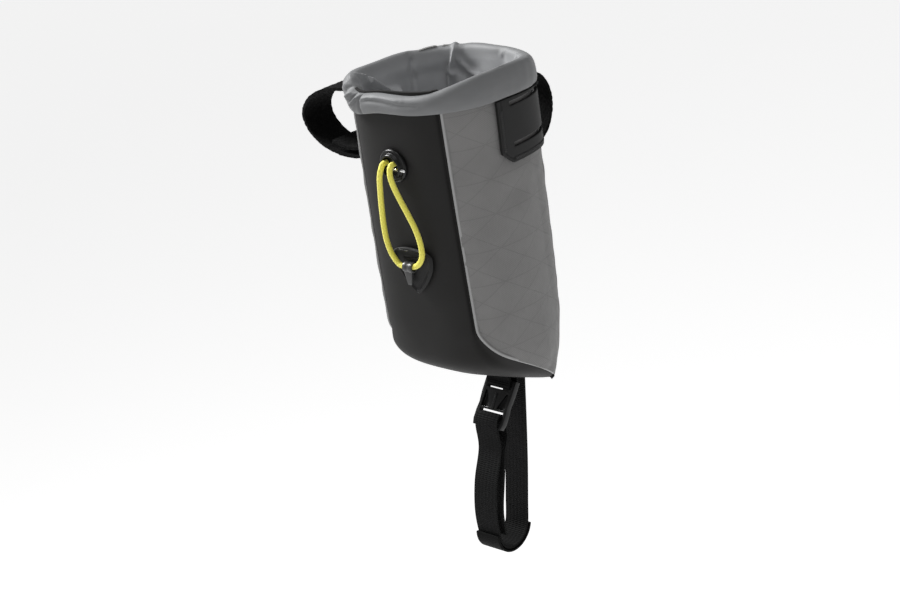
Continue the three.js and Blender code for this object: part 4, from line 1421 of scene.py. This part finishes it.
@dataclass
class Walls:
    """The black panel, the grey sides and back, and the raised edges of their seams."""

    rows: int = 13
    dip: float = 1.3
    # how far down the bag the seam edges start and end
    front_run: tuple = (0.083, 0.965)
    back_run: tuple = (0.1, 0.95)
    # across, rise
    fold: Rows = ((-0.5, -0.5), (-0.5, 0.1), (-0.3, 0.35), (0.2, 0.45), (0.8, 0.38), (1.2, 0.1), (1.4, -0.4))
    across: tuple = (-1, -0.965, -0.9, -0.8, -0.64, -0.42, -0.2, 0, 0.2, 0.42, 0.64, 0.8, 0.9, 0.965, 1)
    ridge: Rows = ((90.5, 62), (91, 104), (93, 124), (98, 144), (105, 162))

    def wall_top(self, angle: np.ndarray) -> np.ndarray:
        """Give the height of the walls' hidden top edge."""
        return BAG.lip(angle) - BAG.rim_top

    def black_points(self) -> np.ndarray:
        """Lay out the black panel from the rim down the front and back under the bag."""
        share = np.array(self.across)
        kink = -BAG.seam[0][0] * BAG.height
        angle = share * (BAG.front_seam - 0.4)
        top = self.wall_top(angle)
        rows = [BAG.wall(top + (kink - top) * s, angle) for s in [*np.linspace(0, 0.97, self.rows), 1]]
        middles = [np.array([0, b[0] * BAG.depth / 2, -b[1] * BAG.height]) for b in BAG.belly]
        for seam, belly, middle in list(zip(BAG.seam, BAG.belly, middles))[1:]:
            edge = BAG.wall(-seam[0] * BAG.height, seam[1], 1.2 * smooth_step((seam[0] - 0.95) / 0.04))
            side = np.array([0, edge[1], edge[2]])
            bulge = np.maximum(0, 1 - np.abs(share) ** belly[2]) ** (1 / belly[3])
            row = side + (middle - side) * bulge[:, None]
            row[:, 0] = edge[0] * share
            rows.append(row)
        return np.array(rows)

    def black_panel(self, palette: Palette) -> None:
        """Make the black front and bottom."""
        points = self.black_points()
        flat = flat_grid(BAG.around(np.array(self.across) * BAG.front_seam), points)
        broad, small = Waves(4, 70, 0.35), Waves(9, 23, 0.1)
        middle = float(BAG.around(0.0))
        edge = float(BAG.around(BAG.front_seam)) - middle

        def detail(place: np.ndarray, uv: np.ndarray, way: np.ndarray) -> np.ndarray:
            """Soften the panel with shallow swells and sink it beside its seams."""
            free = smooth_step((-place[:, 2] - 14) / 20)
            from_seam = edge - np.abs(uv[:, 0] - middle)
            above_foot = smooth_step((place[:, 2] + 0.93 * BAG.height) / 14)
            dip = self.dip * np.exp(-((from_seam - 0.9) / 1.3) ** 2) * above_foot
            return (broad.at(place) + small.at(place)) * free - 0.1 - dip

        obj = Cloth("black_panel", points, flat, outward=False).build(3, BAG.cloth, detail)
        dress(obj, palette.panel)
        declare_sheet(obj, flat)
        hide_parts("front_panel")

    def side_points(self, side: int) -> tuple:
        """Lay out a grey side panel.

        Args:
            side: 1 for the right side and -1 for the left.

        Returns:
            The points and their flat places.
        """
        last = BAG.back_seam - 0.5
        kink = -BAG.seam[0][0] * BAG.height + 2
        rows, angles = [], []
        for s in [*np.linspace(0, 0.97, 11), 1]:
            angle = side * np.linspace(BAG.front_seam + 0.5, last, 17)
            top = self.wall_top(angle)
            rows.append(BAG.wall(top + (kink - top) * s, angle))
            angles.append(angle)
        for seam in BAG.seam[1:]:
            angle = side * np.linspace(min(seam[1] + 0.6, BAG.back_seam - 1.2), last, 17)
            rows.append(BAG.wall(-seam[0] * BAG.height + BAG.gap + 0.3, angle))
            angles.append(angle)
        points = np.array(rows)
        flat = np.stack([BAG.around(np.array(angles)), -points[..., 2]], axis=-1)
        return points, flat

    def side_panel(self, side: int, name: str, node: str, palette: Palette) -> None:
        """Make a grey side panel.

        Args:
            side: 1 for the right side and -1 for the left.
            name: the piece's name.
            node: the node that it stands for.
            palette: the finishes.
        """
        points, flat = self.side_points(side)
        ridge = Fold(FoldKind.TENT, 2.4, 17, self.ridge, 20)
        broad, small = Waves(11 + side, 60, 0.3), Waves(15 + side, 9, 0.09)

        def detail(place: np.ndarray, uv: np.ndarray, way: np.ndarray) -> np.ndarray:
            """Crease the side along its middle and pucker it beside the front seam."""
            round_at = np.interp(uv[:, 0], BAG.around(np.arange(-180, 181)), np.arange(-180, 181))
            angle, down = side * round_at, -place[:, 2]
            seam = np.exp(-((angle - BAG.front_seam) / 7) ** 2)
            free = smooth_step((down - 12) / 25) * smooth_step((BAG.back_seam - angle) / 12)
            return ridge.at(angle, down) + (broad.at(place) + small.at(place) * (0.5 + 2 * seam)) * free

        obj = Cloth(name, points, flat, outward=side < 0).build(3, BAG.cloth, detail)
        dress(obj, palette.ripstop)
        declare_sheet(obj, flat)
        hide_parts(node)

    def back_panel(self, palette: Palette) -> None:
        """Make the plain grey back."""
        foot = -BAG.seam[-1][0] * BAG.height + BAG.gap + 0.3
        angle = np.linspace(BAG.back_seam + 0.5, 360 - BAG.back_seam - 0.5, 19)
        top = self.wall_top(angle)
        points = np.array([BAG.wall(top + (foot - top) * s, angle) for s in np.linspace(0, 1, 15)])
        flat = np.stack([BAG.around(np.broadcast_to(angle, points.shape[:2])), -points[..., 2]], axis=-1)
        broad = Waves(21, 55, 0.4)

        def detail(place: np.ndarray, uv: np.ndarray, way: np.ndarray) -> np.ndarray:
            """Give the back shallow swells below the strap."""
            return broad.at(place) * smooth_step((-place[:, 2] - 55) / 20)

        obj = Cloth("grey_back", points, flat, outward=False).build(3, BAG.cloth, detail)
        dress(obj, palette.ripstop)
        declare_sheet(obj, flat)
        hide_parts("back_panel")

    def seam_edge(self, side: int, back: bool, palette: Palette) -> None:
        """Make the folded edge that stands up along a seam.

        Args:
            side: 1 for the right side and -1 for the left.
            back: True for the seam at the back corner.
            palette: the finishes.
        """
        grid, _ = self.side_points(side)
        border, beside = (-1, -2) if back else (0, 1)
        run, inward = border_curve(grid[:, border], 24), border_curve(grid[:, beside], 24)
        share = -run[:, 2] / BAG.height
        first, last = self.back_run if back else self.front_run
        kept = (share > first) & (share < last)
        run, inward = run[kept], (inward - run)[kept]
        along = np.gradient(run, axis=0)
        along /= np.linalg.norm(along, axis=1)[:, None]
        out = np.cross(along, inward) * (-side if back else side)
        out /= np.linalg.norm(out, axis=1)[:, None]
        inward = inward - along * (inward * along).sum(axis=1)[:, None]
        inward /= np.linalg.norm(inward, axis=1)[:, None]
        wobble = Waves(33, 9, 0.15).at(run)
        rises = [rise + wobble * (rise > 0.3) for _, rise in self.fold]
        points = np.stack(
            [run + inward * across + out * rise[:, None] for (across, _), rise in zip(self.fold, rises)],
            axis=1,
        )
        shares = np.array([across for across, _ in self.fold])
        flat = np.stack(np.broadcast_arrays(shares[None, :], run_along(run)[:, None]), axis=-1)
        place = "back" if back else "front"
        name = f"seam_edge_{place}_{'right' if side > 0 else 'left'}"
        obj = Cloth(name, points, flat, outward=(side > 0) == back).build(1, 0)
        dress(obj, palette.edging)

    def build(self, palette: Palette) -> None:
        """Make every wall and seam."""
        self.black_panel(palette)
        self.side_panel(1, "grey_side_right", "side_panel_right", palette)
        self.side_panel(-1, "grey_side_left", "side_panel_left", palette)
        self.back_panel(palette)
        for side in (1, -1):
            for back in (False, True):
                self.seam_edge(side, back, palette)


@dataclass
class Liner:
    """The thin lining: a turned-out cuff over the rim and a deep inner bag, in one cloth."""

    thick: float = 0.5
    around: int = 464
    outside_rows: int = 34
    stitch: float = 2.3
    thread: float = 0.2
    seam_angle: float = 347.0
    # angle, how far the lip has sunk
    sunk: Rows = (
        (0, 4.2),
        (20, 4.6),
        (40, 3.4),
        (52, 1.8),
        (75, -0.6),
        (95, -1.0),
        (120, -0.5),
        (140, 0),
        (180, -0.3),
        (192, 0.6),
        (203, 2.2),
        (207, 1.4),
        (212, 2.8),
        (225, 3.6),
        (240, 3.4),
        (258, 0.8),
        (270, 0),
        (300, 0),
        (320, 0.5),
        (332, 3.0),
        (345, 3.6),
        (360, 4.2),
    )
    # run, out, drop
    profile: Rows = (
        (0.0, 1.0, 14.0),
        (0.03, 1.9, 13.9),
        (0.08, 2.6, 12.9),
        (0.16, 3.3, 10.5),
        (0.26, 3.6, 7.2),
        (0.36, 3.3, 4.4),
        (0.44, 2.6, 2.3),
        (0.51, 1.4, 0.7),
        (0.57, -0.2, 0.0),
        (0.63, -1.9, 0.5),
        (0.69, -3.3, 2.0),
        (0.78, -4.3, 5.4),
        (0.88, -4.8, 10.0),
        (1.0, -4.9, 16.0),
    )
    # down, slope, share
    floor: Rows = (
        (0.30, 0.0, 1.0),
        (0.50, 0.0, 1.0),
        (0.70, 0.0, 1.0),
        (0.80, 0.0, 0.99),
        (0.86, 0.12, 0.97),
        (0.895, 0.2, 0.9),
        (0.915, 0.26, 0.75),
        (0.925, 0.28, 0.4),
        (0.928, 0.28, 0.02),
    )
    folds: tuple = (
        Fold(FoldKind.LAP, -5.2, 5.5, ((228, 30), (246, 24), (264, 18.5), (273, 14.5), (285, 9), (300, 3.5))),
        Fold(FoldKind.LAP, -2.6, 5.0, ((206, 0), (210, 5), (214, 10), (217, 14)), 3.0),
        Fold(FoldKind.ROLL, -1.8, 1.7, ((216, 13), (208, 15.5), (200, 17), (192, 22)), 5.0),
        Fold(FoldKind.ROLL, -1.6, 1.8, ((203, 8), (195, 13), (186, 16), (178, 22)), 5.0),
        Fold(FoldKind.ROLL, 1.5, 2.6, ((252, 2), (254, 9), (252, 17)), 5.0),
        Fold(FoldKind.ROLL, -1.3, 2.4, ((144, 1), (146, 8), (150, 18)), 5.0),
        Fold(FoldKind.ROLL, 1.1, 4.0, ((172, 3), (168, 12), (160, 20)), 5.0),
    )
    # puckers of the cuff beside its seam: angle, down, second angle, second down, height, width
    puckers: Rows = (
        (346, 0.0, 338, 9.0, 1.7, 1.2),
        (342, -1.0, 333, 8.0, -1.3, 1.0),
        (336, -1.0, 328, 7.0, 1.5, 1.3),
        (331, -1.0, 322, 7.0, -1.2, 1.2),
        (325, 0.0, 316, 7.0, 0.8, 1.5),
        (344, 6.0, 339, 12.5, 0.6, 1.1),
        (348, 3.0, 356, 1.5, 0.8, 1.6),
        (356, 1.5, 370, 3.0, 0.8, 1.8),
        (352, 4.0, 365, 6.0, -0.7, 1.5),
        (365, 6.0, 385, 6.5, -0.6, 1.6),
        (312, 1.5, 306, 9.0, 0.6, 2.0),
    )

    def inner_points(self) -> tuple:
        """Lay out the cloth from the hem over the lip and down to the middle of the floor.

        Returns:
            The points, their angles and their distance down from the lip.
        """
        angle = np.linspace(0, 360, self.around + 1)
        runs = np.linspace(0, 1, 61)
        legs = read_rows(self.profile, runs)
        sunk = read_rows(self.sunk, angle)[..., 0]
        lip = BAG.lip(angle) - sunk
        points, downs = [], []
        for i, (out, drop) in enumerate(legs):
            z = lip - (drop * (1 - sunk / BAG.cuff_drop) if i < self.outside_rows else drop)
            ring = BAG.wall(np.minimum(z, 0), angle, -out)
            ring[:, 2] = z
            points.append(ring)
            downs.append(np.full(len(angle), drop))
        inset = 4.9 - 0.2
        for down, slope, share in read_floor(self.floor, 34):
            z = np.full(len(angle), -down * BAG.height)
            ring = BAG.wall(z, angle, inset)
            ring *= share
            ring[:, 2] = z - slope * ring[:, 1] + inset * (1 - share) * 0.4
            points.append(ring)
            downs.append(-z)
        return np.array(points), angle, np.array(downs)

    def shaped(self) -> tuple:
        """Add the folds to the cloth.

        Returns:
            The folded points and their flat places.
        """
        points, angle, downs = self.inner_points()
        turn = np.broadcast_to(angle, downs.shape)
        outside = np.zeros(downs.shape, bool)
        outside[:self.outside_rows] = True
        rise = np.zeros(downs.shape)
        for fold in self.folds:
            rise += np.where(outside, 0, fold.at(turn, downs))
        cuff = np.zeros(downs.shape)
        for a0, d0, a1, d1, height, width in self.puckers:
            fold = Fold(FoldKind.ROLL, height, width, ((a0, d0), (a1, d1)), 4.0)
            wrapped = np.where(turn < 40, turn + 360, turn)
            cuff += fold.at(wrapped, downs)
        seam = Fold(FoldKind.ROLL, -1.5, 0.6, ((self.seam_angle + 0.5, -2), (self.seam_angle, 15)), 1.0)
        cuff += seam.at(turn, downs)
        rise += np.where(outside, cuff, 0.4 * cuff)
        deep = smooth_step((downs - 3) / 10) * ~outside
        rise += deep * Waves(41, 34, 0.9).at(points)
        rise += 0.7 * deep * Waves(43, 13, 0.35).at(points)
        rise += outside * (Waves(45, 28, 0.25).at(points) + Waves(47, 9, 0.1).at(points))
        way = points - BAG.wall(np.minimum(points[..., 2], 0), turn, 30)
        way[..., 2] = 0
        way /= np.maximum(np.linalg.norm(way, axis=-1), 1e-6)[..., None]
        fade = np.clip((0.9 * BAG.height + points[..., 2]) / 20, 0, 1)
        points = points + way * (rise * fade)[..., None]
        return points, flat_grid(BAG.around(angle), points)

    def build(self, palette: Palette) -> None:
        """Make the liner and the stitches along its hem."""
        points, flat = self.shaped()
        points[:, -1] = points[:, 0]
        obj = Cloth("liner", points, flat, closed=True).build(0, self.thick)
        dress(obj, palette.lining)
        declare_sheet(obj, flat)
        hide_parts("lining", "cuff")
        hem = points[1, :-1]
        ring = evenly(np.vstack([hem, hem[:1]]) + np.array([0, 0, 0.45]), self.stitch)
        ends = []
        for a, b in zip(ring[:-1], ring[1:]):
            out = a * np.array([1, 1, 0])
            out /= np.linalg.norm(out)
            ends.append((a + out * 0.15, a + (b - a) * 0.6 + out * 0.15))
        thread = stitches("hem_stitches", ends, self.thread)
        dress(thread, palette.black_thread)


def read_floor(rows: Rows, count: int) -> np.ndarray:
    """Read the floor's table at even steps.

    Args:
        rows: down, slope and share of each row.
        count: how many rows to give.

    Returns:
        The rows in between.
    """
    table = np.array(rows)
    index = np.linspace(0, len(table) - 1, count)
    keyed = np.column_stack([np.arange(len(table)), table])
    return read_rows(keyed, index)


@dataclass
class StrapPatch:
    """A black patch with slots, sewn to the wall."""

    name: str
    node: str
    start: float
    end: float
    lift: float
    slot: float
    open_top: bool
    cut: float
    thick: float = 1.4
    lay: float = 0.45
    middle: float = -29.5
    spacing: float = 20.5
    top: float = -16.5
    length: float = 32.0
    bridge: float = 1.5
    slope: float = 3.0
    slot_from: float = 3.0
    slot_to: float = 5.0
    stitch: float = 1.05
    cell: float = 0.8
    columns: int = 96

    @property
    def wide(self) -> float:
        """Give the patch's width along the cloth."""
        return float(BAG.around(self.end) - BAG.around(self.start))

    def angle(self, share: np.ndarray) -> np.ndarray:
        """Give the angle at a share of the patch's width."""
        angles, runs = BAG.girth
        return np.interp(BAG.around(self.start) + share * self.wide, runs, angles)

    def heights(self) -> list:
        """Give the heights of the patch's rows."""
        half = self.slot / 2
        upper = self.middle + self.spacing / 2 + half
        lower = self.middle - self.spacing / 2 + half
        below = [upper - self.slot, upper - self.slot - self.bridge, self.middle, lower + self.bridge, lower,
                 lower - self.slot, lower - self.slot - self.bridge, self.top - self.length]
        return below if self.open_top else [self.top, upper, *below]

    def surface(self, share: np.ndarray, z: np.ndarray, out: float, cut: float = 0.0) -> np.ndarray:
        """Give points on the patch.

        Args:
            share: share of the way from its first edge to its last.
            z: heights.
            out: distance out from the cloth under it.
            cut: how far the corner is cut away at these points.

        Returns:
            The points.
        """
        angle = self.angle(cut + (1 - cut) * share)
        foot = self.top - self.length
        sideways = np.minimum(1, np.minimum(share, 1 - share) / 0.1)
        up_down = np.clip(np.minimum(self.top - z, z - foot) / self.slope, 0, 1)
        hem = np.maximum(BAG.lip(angle) - BAG.cuff_drop - 0.8, self.heights()[1] + 0.4)
        height = np.where(z >= self.top, np.where(self.open_top, z, hem), z)
        return BAG.wall(height, angle, -(out + self.lift * sideways * up_down))

    def build(self, palette: Palette) -> None:
        """Make the patch and cut its slots."""
        rows = np.array(self.heights())
        fine = []
        for high, low in zip(rows[:-1], rows[1:]):
            cells = max(1, int(round((high - low) / self.cell)))
            fine += list(np.linspace(high, low, cells + 1)[:-1])
        fine = np.array(fine + [rows[-1]])
        share = np.linspace(0, 1, self.columns + 1)
        foot = self.top - self.length
        v, u = np.meshgrid(fine, share, indexing="ij")
        cut = self.cut * np.clip((rows[-2] - v) / (rows[-2] - foot), 0, 1)
        edge = np.minimum(np.minimum(u, 1 - u) * (1 - cut) * self.wide, v - foot)
        sunk = 0.35 * np.exp(-((edge - 2.2) / 0.5) ** 2) * (self.cut > 0)
        points = self.pressed(u, v, cut, sunk)
        flat = np.stack([u * self.wide, -v], axis=-1)
        cloth = Cloth(self.name, points, flat, outward=False)
        obj = cloth.build(0, 0)
        self.open_slots(obj, fine, share)
        apply_modifier(obj, "SOLIDIFY", thickness=self.thick * MM, offset=-1)
        apply_modifier(obj, "BEVEL", width=0.3 * MM, segments=2, limit_method="ANGLE", angle_limit=0.9)
        smooth(obj, 50)
        dress(obj, palette.patch)
        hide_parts(self.node)
        self.sew(palette, foot)

    def pressed(self, u: np.ndarray, v: np.ndarray, cut: np.ndarray, sunk: np.ndarray) -> np.ndarray:
        """Press the patch in along its sewing line."""
        top = self.surface(u, v, self.lay + self.thick, cut)
        low = self.surface(u, v, self.lay + self.thick - 1.0, cut)
        return top + (low - top) * sunk[..., None]

    def open_slots(self, obj: bpy.types.Object, fine: np.ndarray, share: np.ndarray) -> None:
        """Delete the faces of the slots.

        Args:
            obj: the patch.
            fine: heights of its grid rows.
            share: shares of its grid columns.
        """
        half = self.slot / 2
        centres = [self.middle - self.spacing / 2]
        if not self.open_top:
            centres.append(self.middle + self.spacing / 2)
        only(obj)
        for i, face in enumerate(obj.data.polygons):
            row, column = divmod(i, self.columns)
            z = (fine[row] + fine[row + 1]) / 2
            s = (share[column] + share[column + 1]) / 2
            first, last = s * self.wide - self.slot_from, (1 - s) * self.wide - self.slot_to
            off = min(abs(z - centre) for centre in centres)
            round_end = half - math.sqrt(max(0, half ** 2 - off ** 2))
            face.select = bool(last > 0 and off < half - 0.02 and first > round_end)
        bpy.ops.object.mode_set(mode="EDIT")
        bpy.ops.mesh.select_mode(type="FACE")
        bpy.ops.mesh.delete(type="FACE")
        bpy.ops.object.mode_set(mode="OBJECT")

    def sew(self, palette: Palette, foot: float) -> None:
        """Sew zigzag stitches along the patch's edges."""
        ends = []
        out = self.lay + self.thick + 0.08
        near, far = 0.8 / self.wide, 2.9 / self.wide
        steps = np.arange(self.top - 4.5, self.heights()[-2], -self.stitch)
        for a, b in zip(steps[:-1], steps[1:]):
            corner = self.surface(far, (a + b) / 2, out)
            ends.append((self.surface(near, a, out), corner))
            ends.append((corner, self.surface(near, b, out)))
        step = self.stitch / self.wide
        for s in np.arange(self.cut + 0.03, 0.97, step):
            corner = self.surface(s + step / 2, foot + 2.7, out)
            ends.append((self.surface(s, foot + 0.9, out), corner))
            ends.append((corner, self.surface(s + step, foot + 0.9, out)))
        thread = stitches(f"{self.name}_stitches", [(np.squeeze(a), np.squeeze(b)) for a, b in ends], 0.17)
        dress(thread, palette.black_thread)


@dataclass
class MountingStrap:
    """A hook-and-loop strap that runs in behind a patch and out again round a loop."""

    name: str
    node: str
    base: float
    reach: float
    height: float
    sideways: bool
    shift: float = 4.0
    width: float = 20.0
    thick: float = 2.0
    lay: float = 0.45
    middle: float = -29.5
    spacing: float = 20.5
    sag: float = 10.5
    # out, up
    inner: Rows = ((0.66, -0.62), (0.45, -0.74), (0.3, -0.64))
    outer: Rows = (
        (0.3, 1.02),
        (0.52, 0.98),
        (0.78, 0.78),
        (0.95, 0.4),
        (1.0, 0.0),
        (0.94, -0.42),
        (0.78, -0.78),
        (0.56, -0.96),
        (0.34, -0.95),
        (0.16, -0.8),
    )

    def line(self) -> np.ndarray:
        """Give the strap's middle line."""
        behind = self.lay + self.thick / 2
        upper, lower = self.middle + self.spacing / 2, self.middle - self.spacing / 2
        centre = self.middle - self.sag

        def loop(row: Sequence[float]) -> tuple:
            """Place a row of the loop."""
            return self.base + row[0] * self.reach, centre + row[1] * (self.height / 2 - self.thick / 2)

        flat = [
            *[loop(row) for row in self.inner],
            (self.base + behind + 4.4, lower - 0.6),
            (self.base + behind + 1.6, lower + 0.6),
            (self.base + behind, lower + 3.4),
            (self.base + behind, self.middle),
            (self.base + behind, upper - 3.4),
            (self.base + behind + 1.6, upper - 0.6),
            (self.base + behind + 4.4, upper),
            *[loop(row) for row in self.outer],
        ]
        points = [(-out, self.shift, up) if self.sideways else (0.0, out, up) for out, up in flat]
        return evenly(smooth_line(points, 8), 0.5)

    def build(self, palette: Palette) -> None:
        """Make the strap with its pile."""
        across = (0, 1, 0) if self.sideways else (1, 0, 0)
        cloth = band_cloth(self.name, self.line(), across, self.width - 0.3, 40)
        tufts, nap = Waves(51, 1.6, 0.09, 12), Waves(53, 4.5, 0.06, 8)

        def detail(place: np.ndarray, uv: np.ndarray, way: np.ndarray) -> np.ndarray:
            """Roughen the pile."""
            return tufts.at(place) + nap.at(place)

        obj = cloth.build(0, self.thick - 0.3, detail, offset=0)
        dress(obj, palette.pile)
        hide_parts(self.node)


@dataclass
class BottomStrap:
    """The webbing loop under the bag with its buckle, tab and sleeve."""

    webbing: float = 15.0
    thick: float = 1.3
    tab_back: float = 18.0
    tab_hang: float = 5.33
    swing: float = 30.0
    drop: float = 97.0
    lean: float = 0.086
    bar_half: float = 1.3
    lower_bar: float = 19.9
    buckle_thick: float = 3.2
    gap: float = 0.3
    loop_radius: float = 10.5
    loop_middle: float = 13.6
    back_top: float = 26.6
    sleeve: float = 1.2
    rib: float = 1.1
    # width, height and length of the rib on the buckle's tongue
    tongue_rib: tuple = (1.6, 1.0, 8.5)
    tongue_middle: float = 11.0

    @property
    def top(self) -> tuple:
        """Give the middle of the buckle's upper bar."""
        return 0.0, self.tab_back, BAG.under(self.tab_back) - self.tab_hang

    @property
    def low(self) -> float:
        """Give the height of the middle of the strap's lowest bend."""
        return -BAG.height - self.drop + self.loop_radius

    def at(self, back: float, along: float) -> tuple:
        """Give a point of the buckle's own frame."""
        a = math.radians(self.swing)
        y = self.top[1] - math.sin(a) * along + math.cos(a) * back
        z = self.top[2] - math.cos(a) * along - math.sin(a) * back
        return -self.lean * along, y, z

    def hang(self, back: float, z: float) -> tuple:
        """Give a point of the hanging strap."""
        return -self.lean * (-BAG.height - z), back, z

    def bend(self, radius: float, start: float, end: float, count: int) -> list:
        """Give points round the lowest bend."""
        turns = np.radians(np.linspace(start, end, count))
        backs, ups = self.loop_middle + radius * np.cos(turns), self.low + radius * np.sin(turns)
        return [self.hang(back, up) for back, up in zip(backs, ups)]

    def line(self) -> np.ndarray:
        """Give the strap's line: free end, buckle, front run, bend and back run."""
        wrap = self.buckle_thick / 2 + self.gap + self.thick / 2
        end = self.bar_half + self.gap + self.thick / 2
        points = [
            self.hang(7.6, self.low - 1),
            self.hang(5.8, self.low + 12),
            self.hang(7.6, self.low + 30),
            self.hang(9.8, self.low + 46),
            self.at(wrap + 5.2, self.lower_bar + 6),
            self.at(wrap + 1.6, self.lower_bar + 1.5),
            self.at(wrap * 0.95, self.lower_bar - end * 0.9),
            self.at(0, self.lower_bar - end - 0.25),
            self.at(-wrap * 0.95, self.lower_bar - end * 0.9),
            self.at(-wrap - 0.3, self.lower_bar + 0.5),
            self.at(-wrap * 0.8, self.lower_bar + end + 0.9),
            self.at(-0.5, self.lower_bar + end + 3.6),
            self.hang(6.2, self.low + 48),
            self.hang(1.8, self.low + 30),
            self.hang(0.8, self.low + 12),
            *self.bend(self.loop_radius, 195, 345, 9),
            self.hang(24.8, self.low + 12),
            self.hang(26, self.low + 35),
            self.hang(26.6, self.low + 60),
            (0, self.back_top, BAG.under(self.back_top) - self.gap - 0.5),
        ]
        return evenly(smooth_line(points, 8), 0.55)

    def tab_line(self) -> np.ndarray:
        """Give the line of the short tab round the upper bar."""
        bend = self.bar_half + self.gap + self.thick / 2 + 0.5

        def top(back: float) -> tuple:
            """Give where the tab meets the bag."""
            return 0.0, back, BAG.under(back) - self.gap - 0.4

        points = [
            top(self.tab_back - bend - 0.4),
            self.at(-bend, -1),
            self.at(-bend * 0.75, bend * 0.75),
            self.at(0, bend + 0.2),
            self.at(bend * 0.75, bend * 0.75),
            self.at(bend, -1),
            top(self.tab_back + bend + 0.5),
        ]
        return evenly(smooth_line(points, 8), 0.4)

    def webbing_piece(self, name: str, node: str, line: np.ndarray, palette: Palette) -> None:
        """Make a length of ribbed webbing.

        Args:
            name: the piece's name.
            node: the node that it stands for.
            line: its middle line.
            palette: the finishes.
        """
        cloth = band_cloth(name, line, (1, 0, 0), self.webbing, 24)

        def detail(place: np.ndarray, uv: np.ndarray, way: np.ndarray) -> np.ndarray:
            """Rib the webbing, with the ribs fading out towards its edges."""
            middle = 1 - (np.abs(uv[:, 0]) / (self.webbing / 2)) ** 6
            return 0.05 * np.cos(uv[:, 1] * 2 * math.pi / self.rib) * middle

        obj = cloth.build(0, self.thick - 0.1, detail, offset=0)
        dress(obj, palette.webbing)
        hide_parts(node)

    def make_sleeve(self, palette: Palette) -> None:
        """Make the smooth sleeve round the lowest bend."""
        radius = self.loop_radius + self.thick / 2 + 0.6 + self.sleeve / 2
        line = evenly(np.array(self.bend(radius, 178, 352, 40)), 0.5)
        cloth = band_cloth("bend_sleeve", line, (1, 0, 0), self.webbing + 0.8, 20)
        obj = cloth.build(1, self.sleeve, None, offset=0)
        apply_modifier(obj, "BEVEL", width=0.25 * MM, segments=2, limit_method="ANGLE", angle_limit=0.9)
        smooth(obj)
        dress(obj, palette.sleeve)
        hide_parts("strap_sleeve")

    def make_buckle(self, nodes: dict, palette: Palette) -> None:
        """Round the buckle's edges and give its tongue a rib."""
        start_clean()
        source = nodes["buckle"]
        obj = bpy.data.objects.new("ladder_buckle", source.data.copy())
        bpy.context.collection.objects.link(obj)
        only(obj)
        bpy.ops.object.mode_set(mode="EDIT")
        bpy.ops.mesh.select_all(action="SELECT")
        bpy.ops.mesh.remove_doubles(threshold=1e-6)
        bpy.ops.mesh.dissolve_limited(angle_limit=0.01)
        bpy.ops.object.mode_set(mode="OBJECT")
        apply_modifier(obj, "BEVEL", width=0.45 * MM, segments=3, limit_method="ANGLE", angle_limit=0.6)
        start_clean()
        bpy.ops.mesh.primitive_cube_add(size=1)
        rib = bpy.context.object
        rib.scale = [size * MM for size in self.tongue_rib]
        bpy.ops.object.transform_apply(scale=True)
        apply_modifier(rib, "BEVEL", width=0.4 * MM, segments=3)
        a = math.radians(self.swing)
        place = Vector(BAG.placed(self.at(-self.buckle_thick / 2, self.tongue_middle)))
        put(rib, Matrix.Translation(place) @ Matrix.Rotation(-a, 4, "X") @ Matrix.Rotation(self.lean, 4, "Y"))
        obj = joined("ladder_buckle", [obj, rib])
        smooth(obj, 35)
        dress(obj, palette.plastic)
        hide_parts("buckle")

    def build(self, nodes: dict, palette: Palette) -> None:
        """Make the strap, tab, buckle and sleeve."""
        self.webbing_piece("hanging_webbing", "bottom_strap", self.line(), palette)
        self.webbing_piece("buckle_tab_webbing", "buckle_tab", self.tab_line(), palette)
        self.make_buckle(nodes, palette)
        self.make_sleeve(palette)


def main() -> None:
    """Build the pouch round its frame."""
    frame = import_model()
    nodes = frame["nodes"]
    studio = Studio()
    studio.camera()
    palette = Palette.mixed()
    ElasticLoop().build(palette)
    Walls().build(palette)
    Liner().build(palette)
    flat = {"lift": 0.0, "slot": 2.5, "open_top": False, "cut": 0.18, "slot_from": 8.2, "slot_to": 0.8}
    raised = {"lift": 3.6, "slot": 5.0, "open_top": True, "cut": 0.0}
    places = (("right", 87, 134, flat), ("left", 250, 281, raised), ("back", 165, 195, raised))
    for name, start, end, shape in places:
        StrapPatch(f"{name}_patch", f"patch_{name}", start, end, **shape).build(palette)
    MountingStrap("left_strap", "stem_strap", 40.2, 57, 38, True).build(palette)
    MountingStrap("back_strap", "bar_strap", 40.0, 27, 39, False).build(palette)
    BottomStrap().build(nodes, palette)
    studio.stage()


if __name__ == "__main__":
    logging.basicConfig(level=logging.INFO, format="%(message)s")
    main()
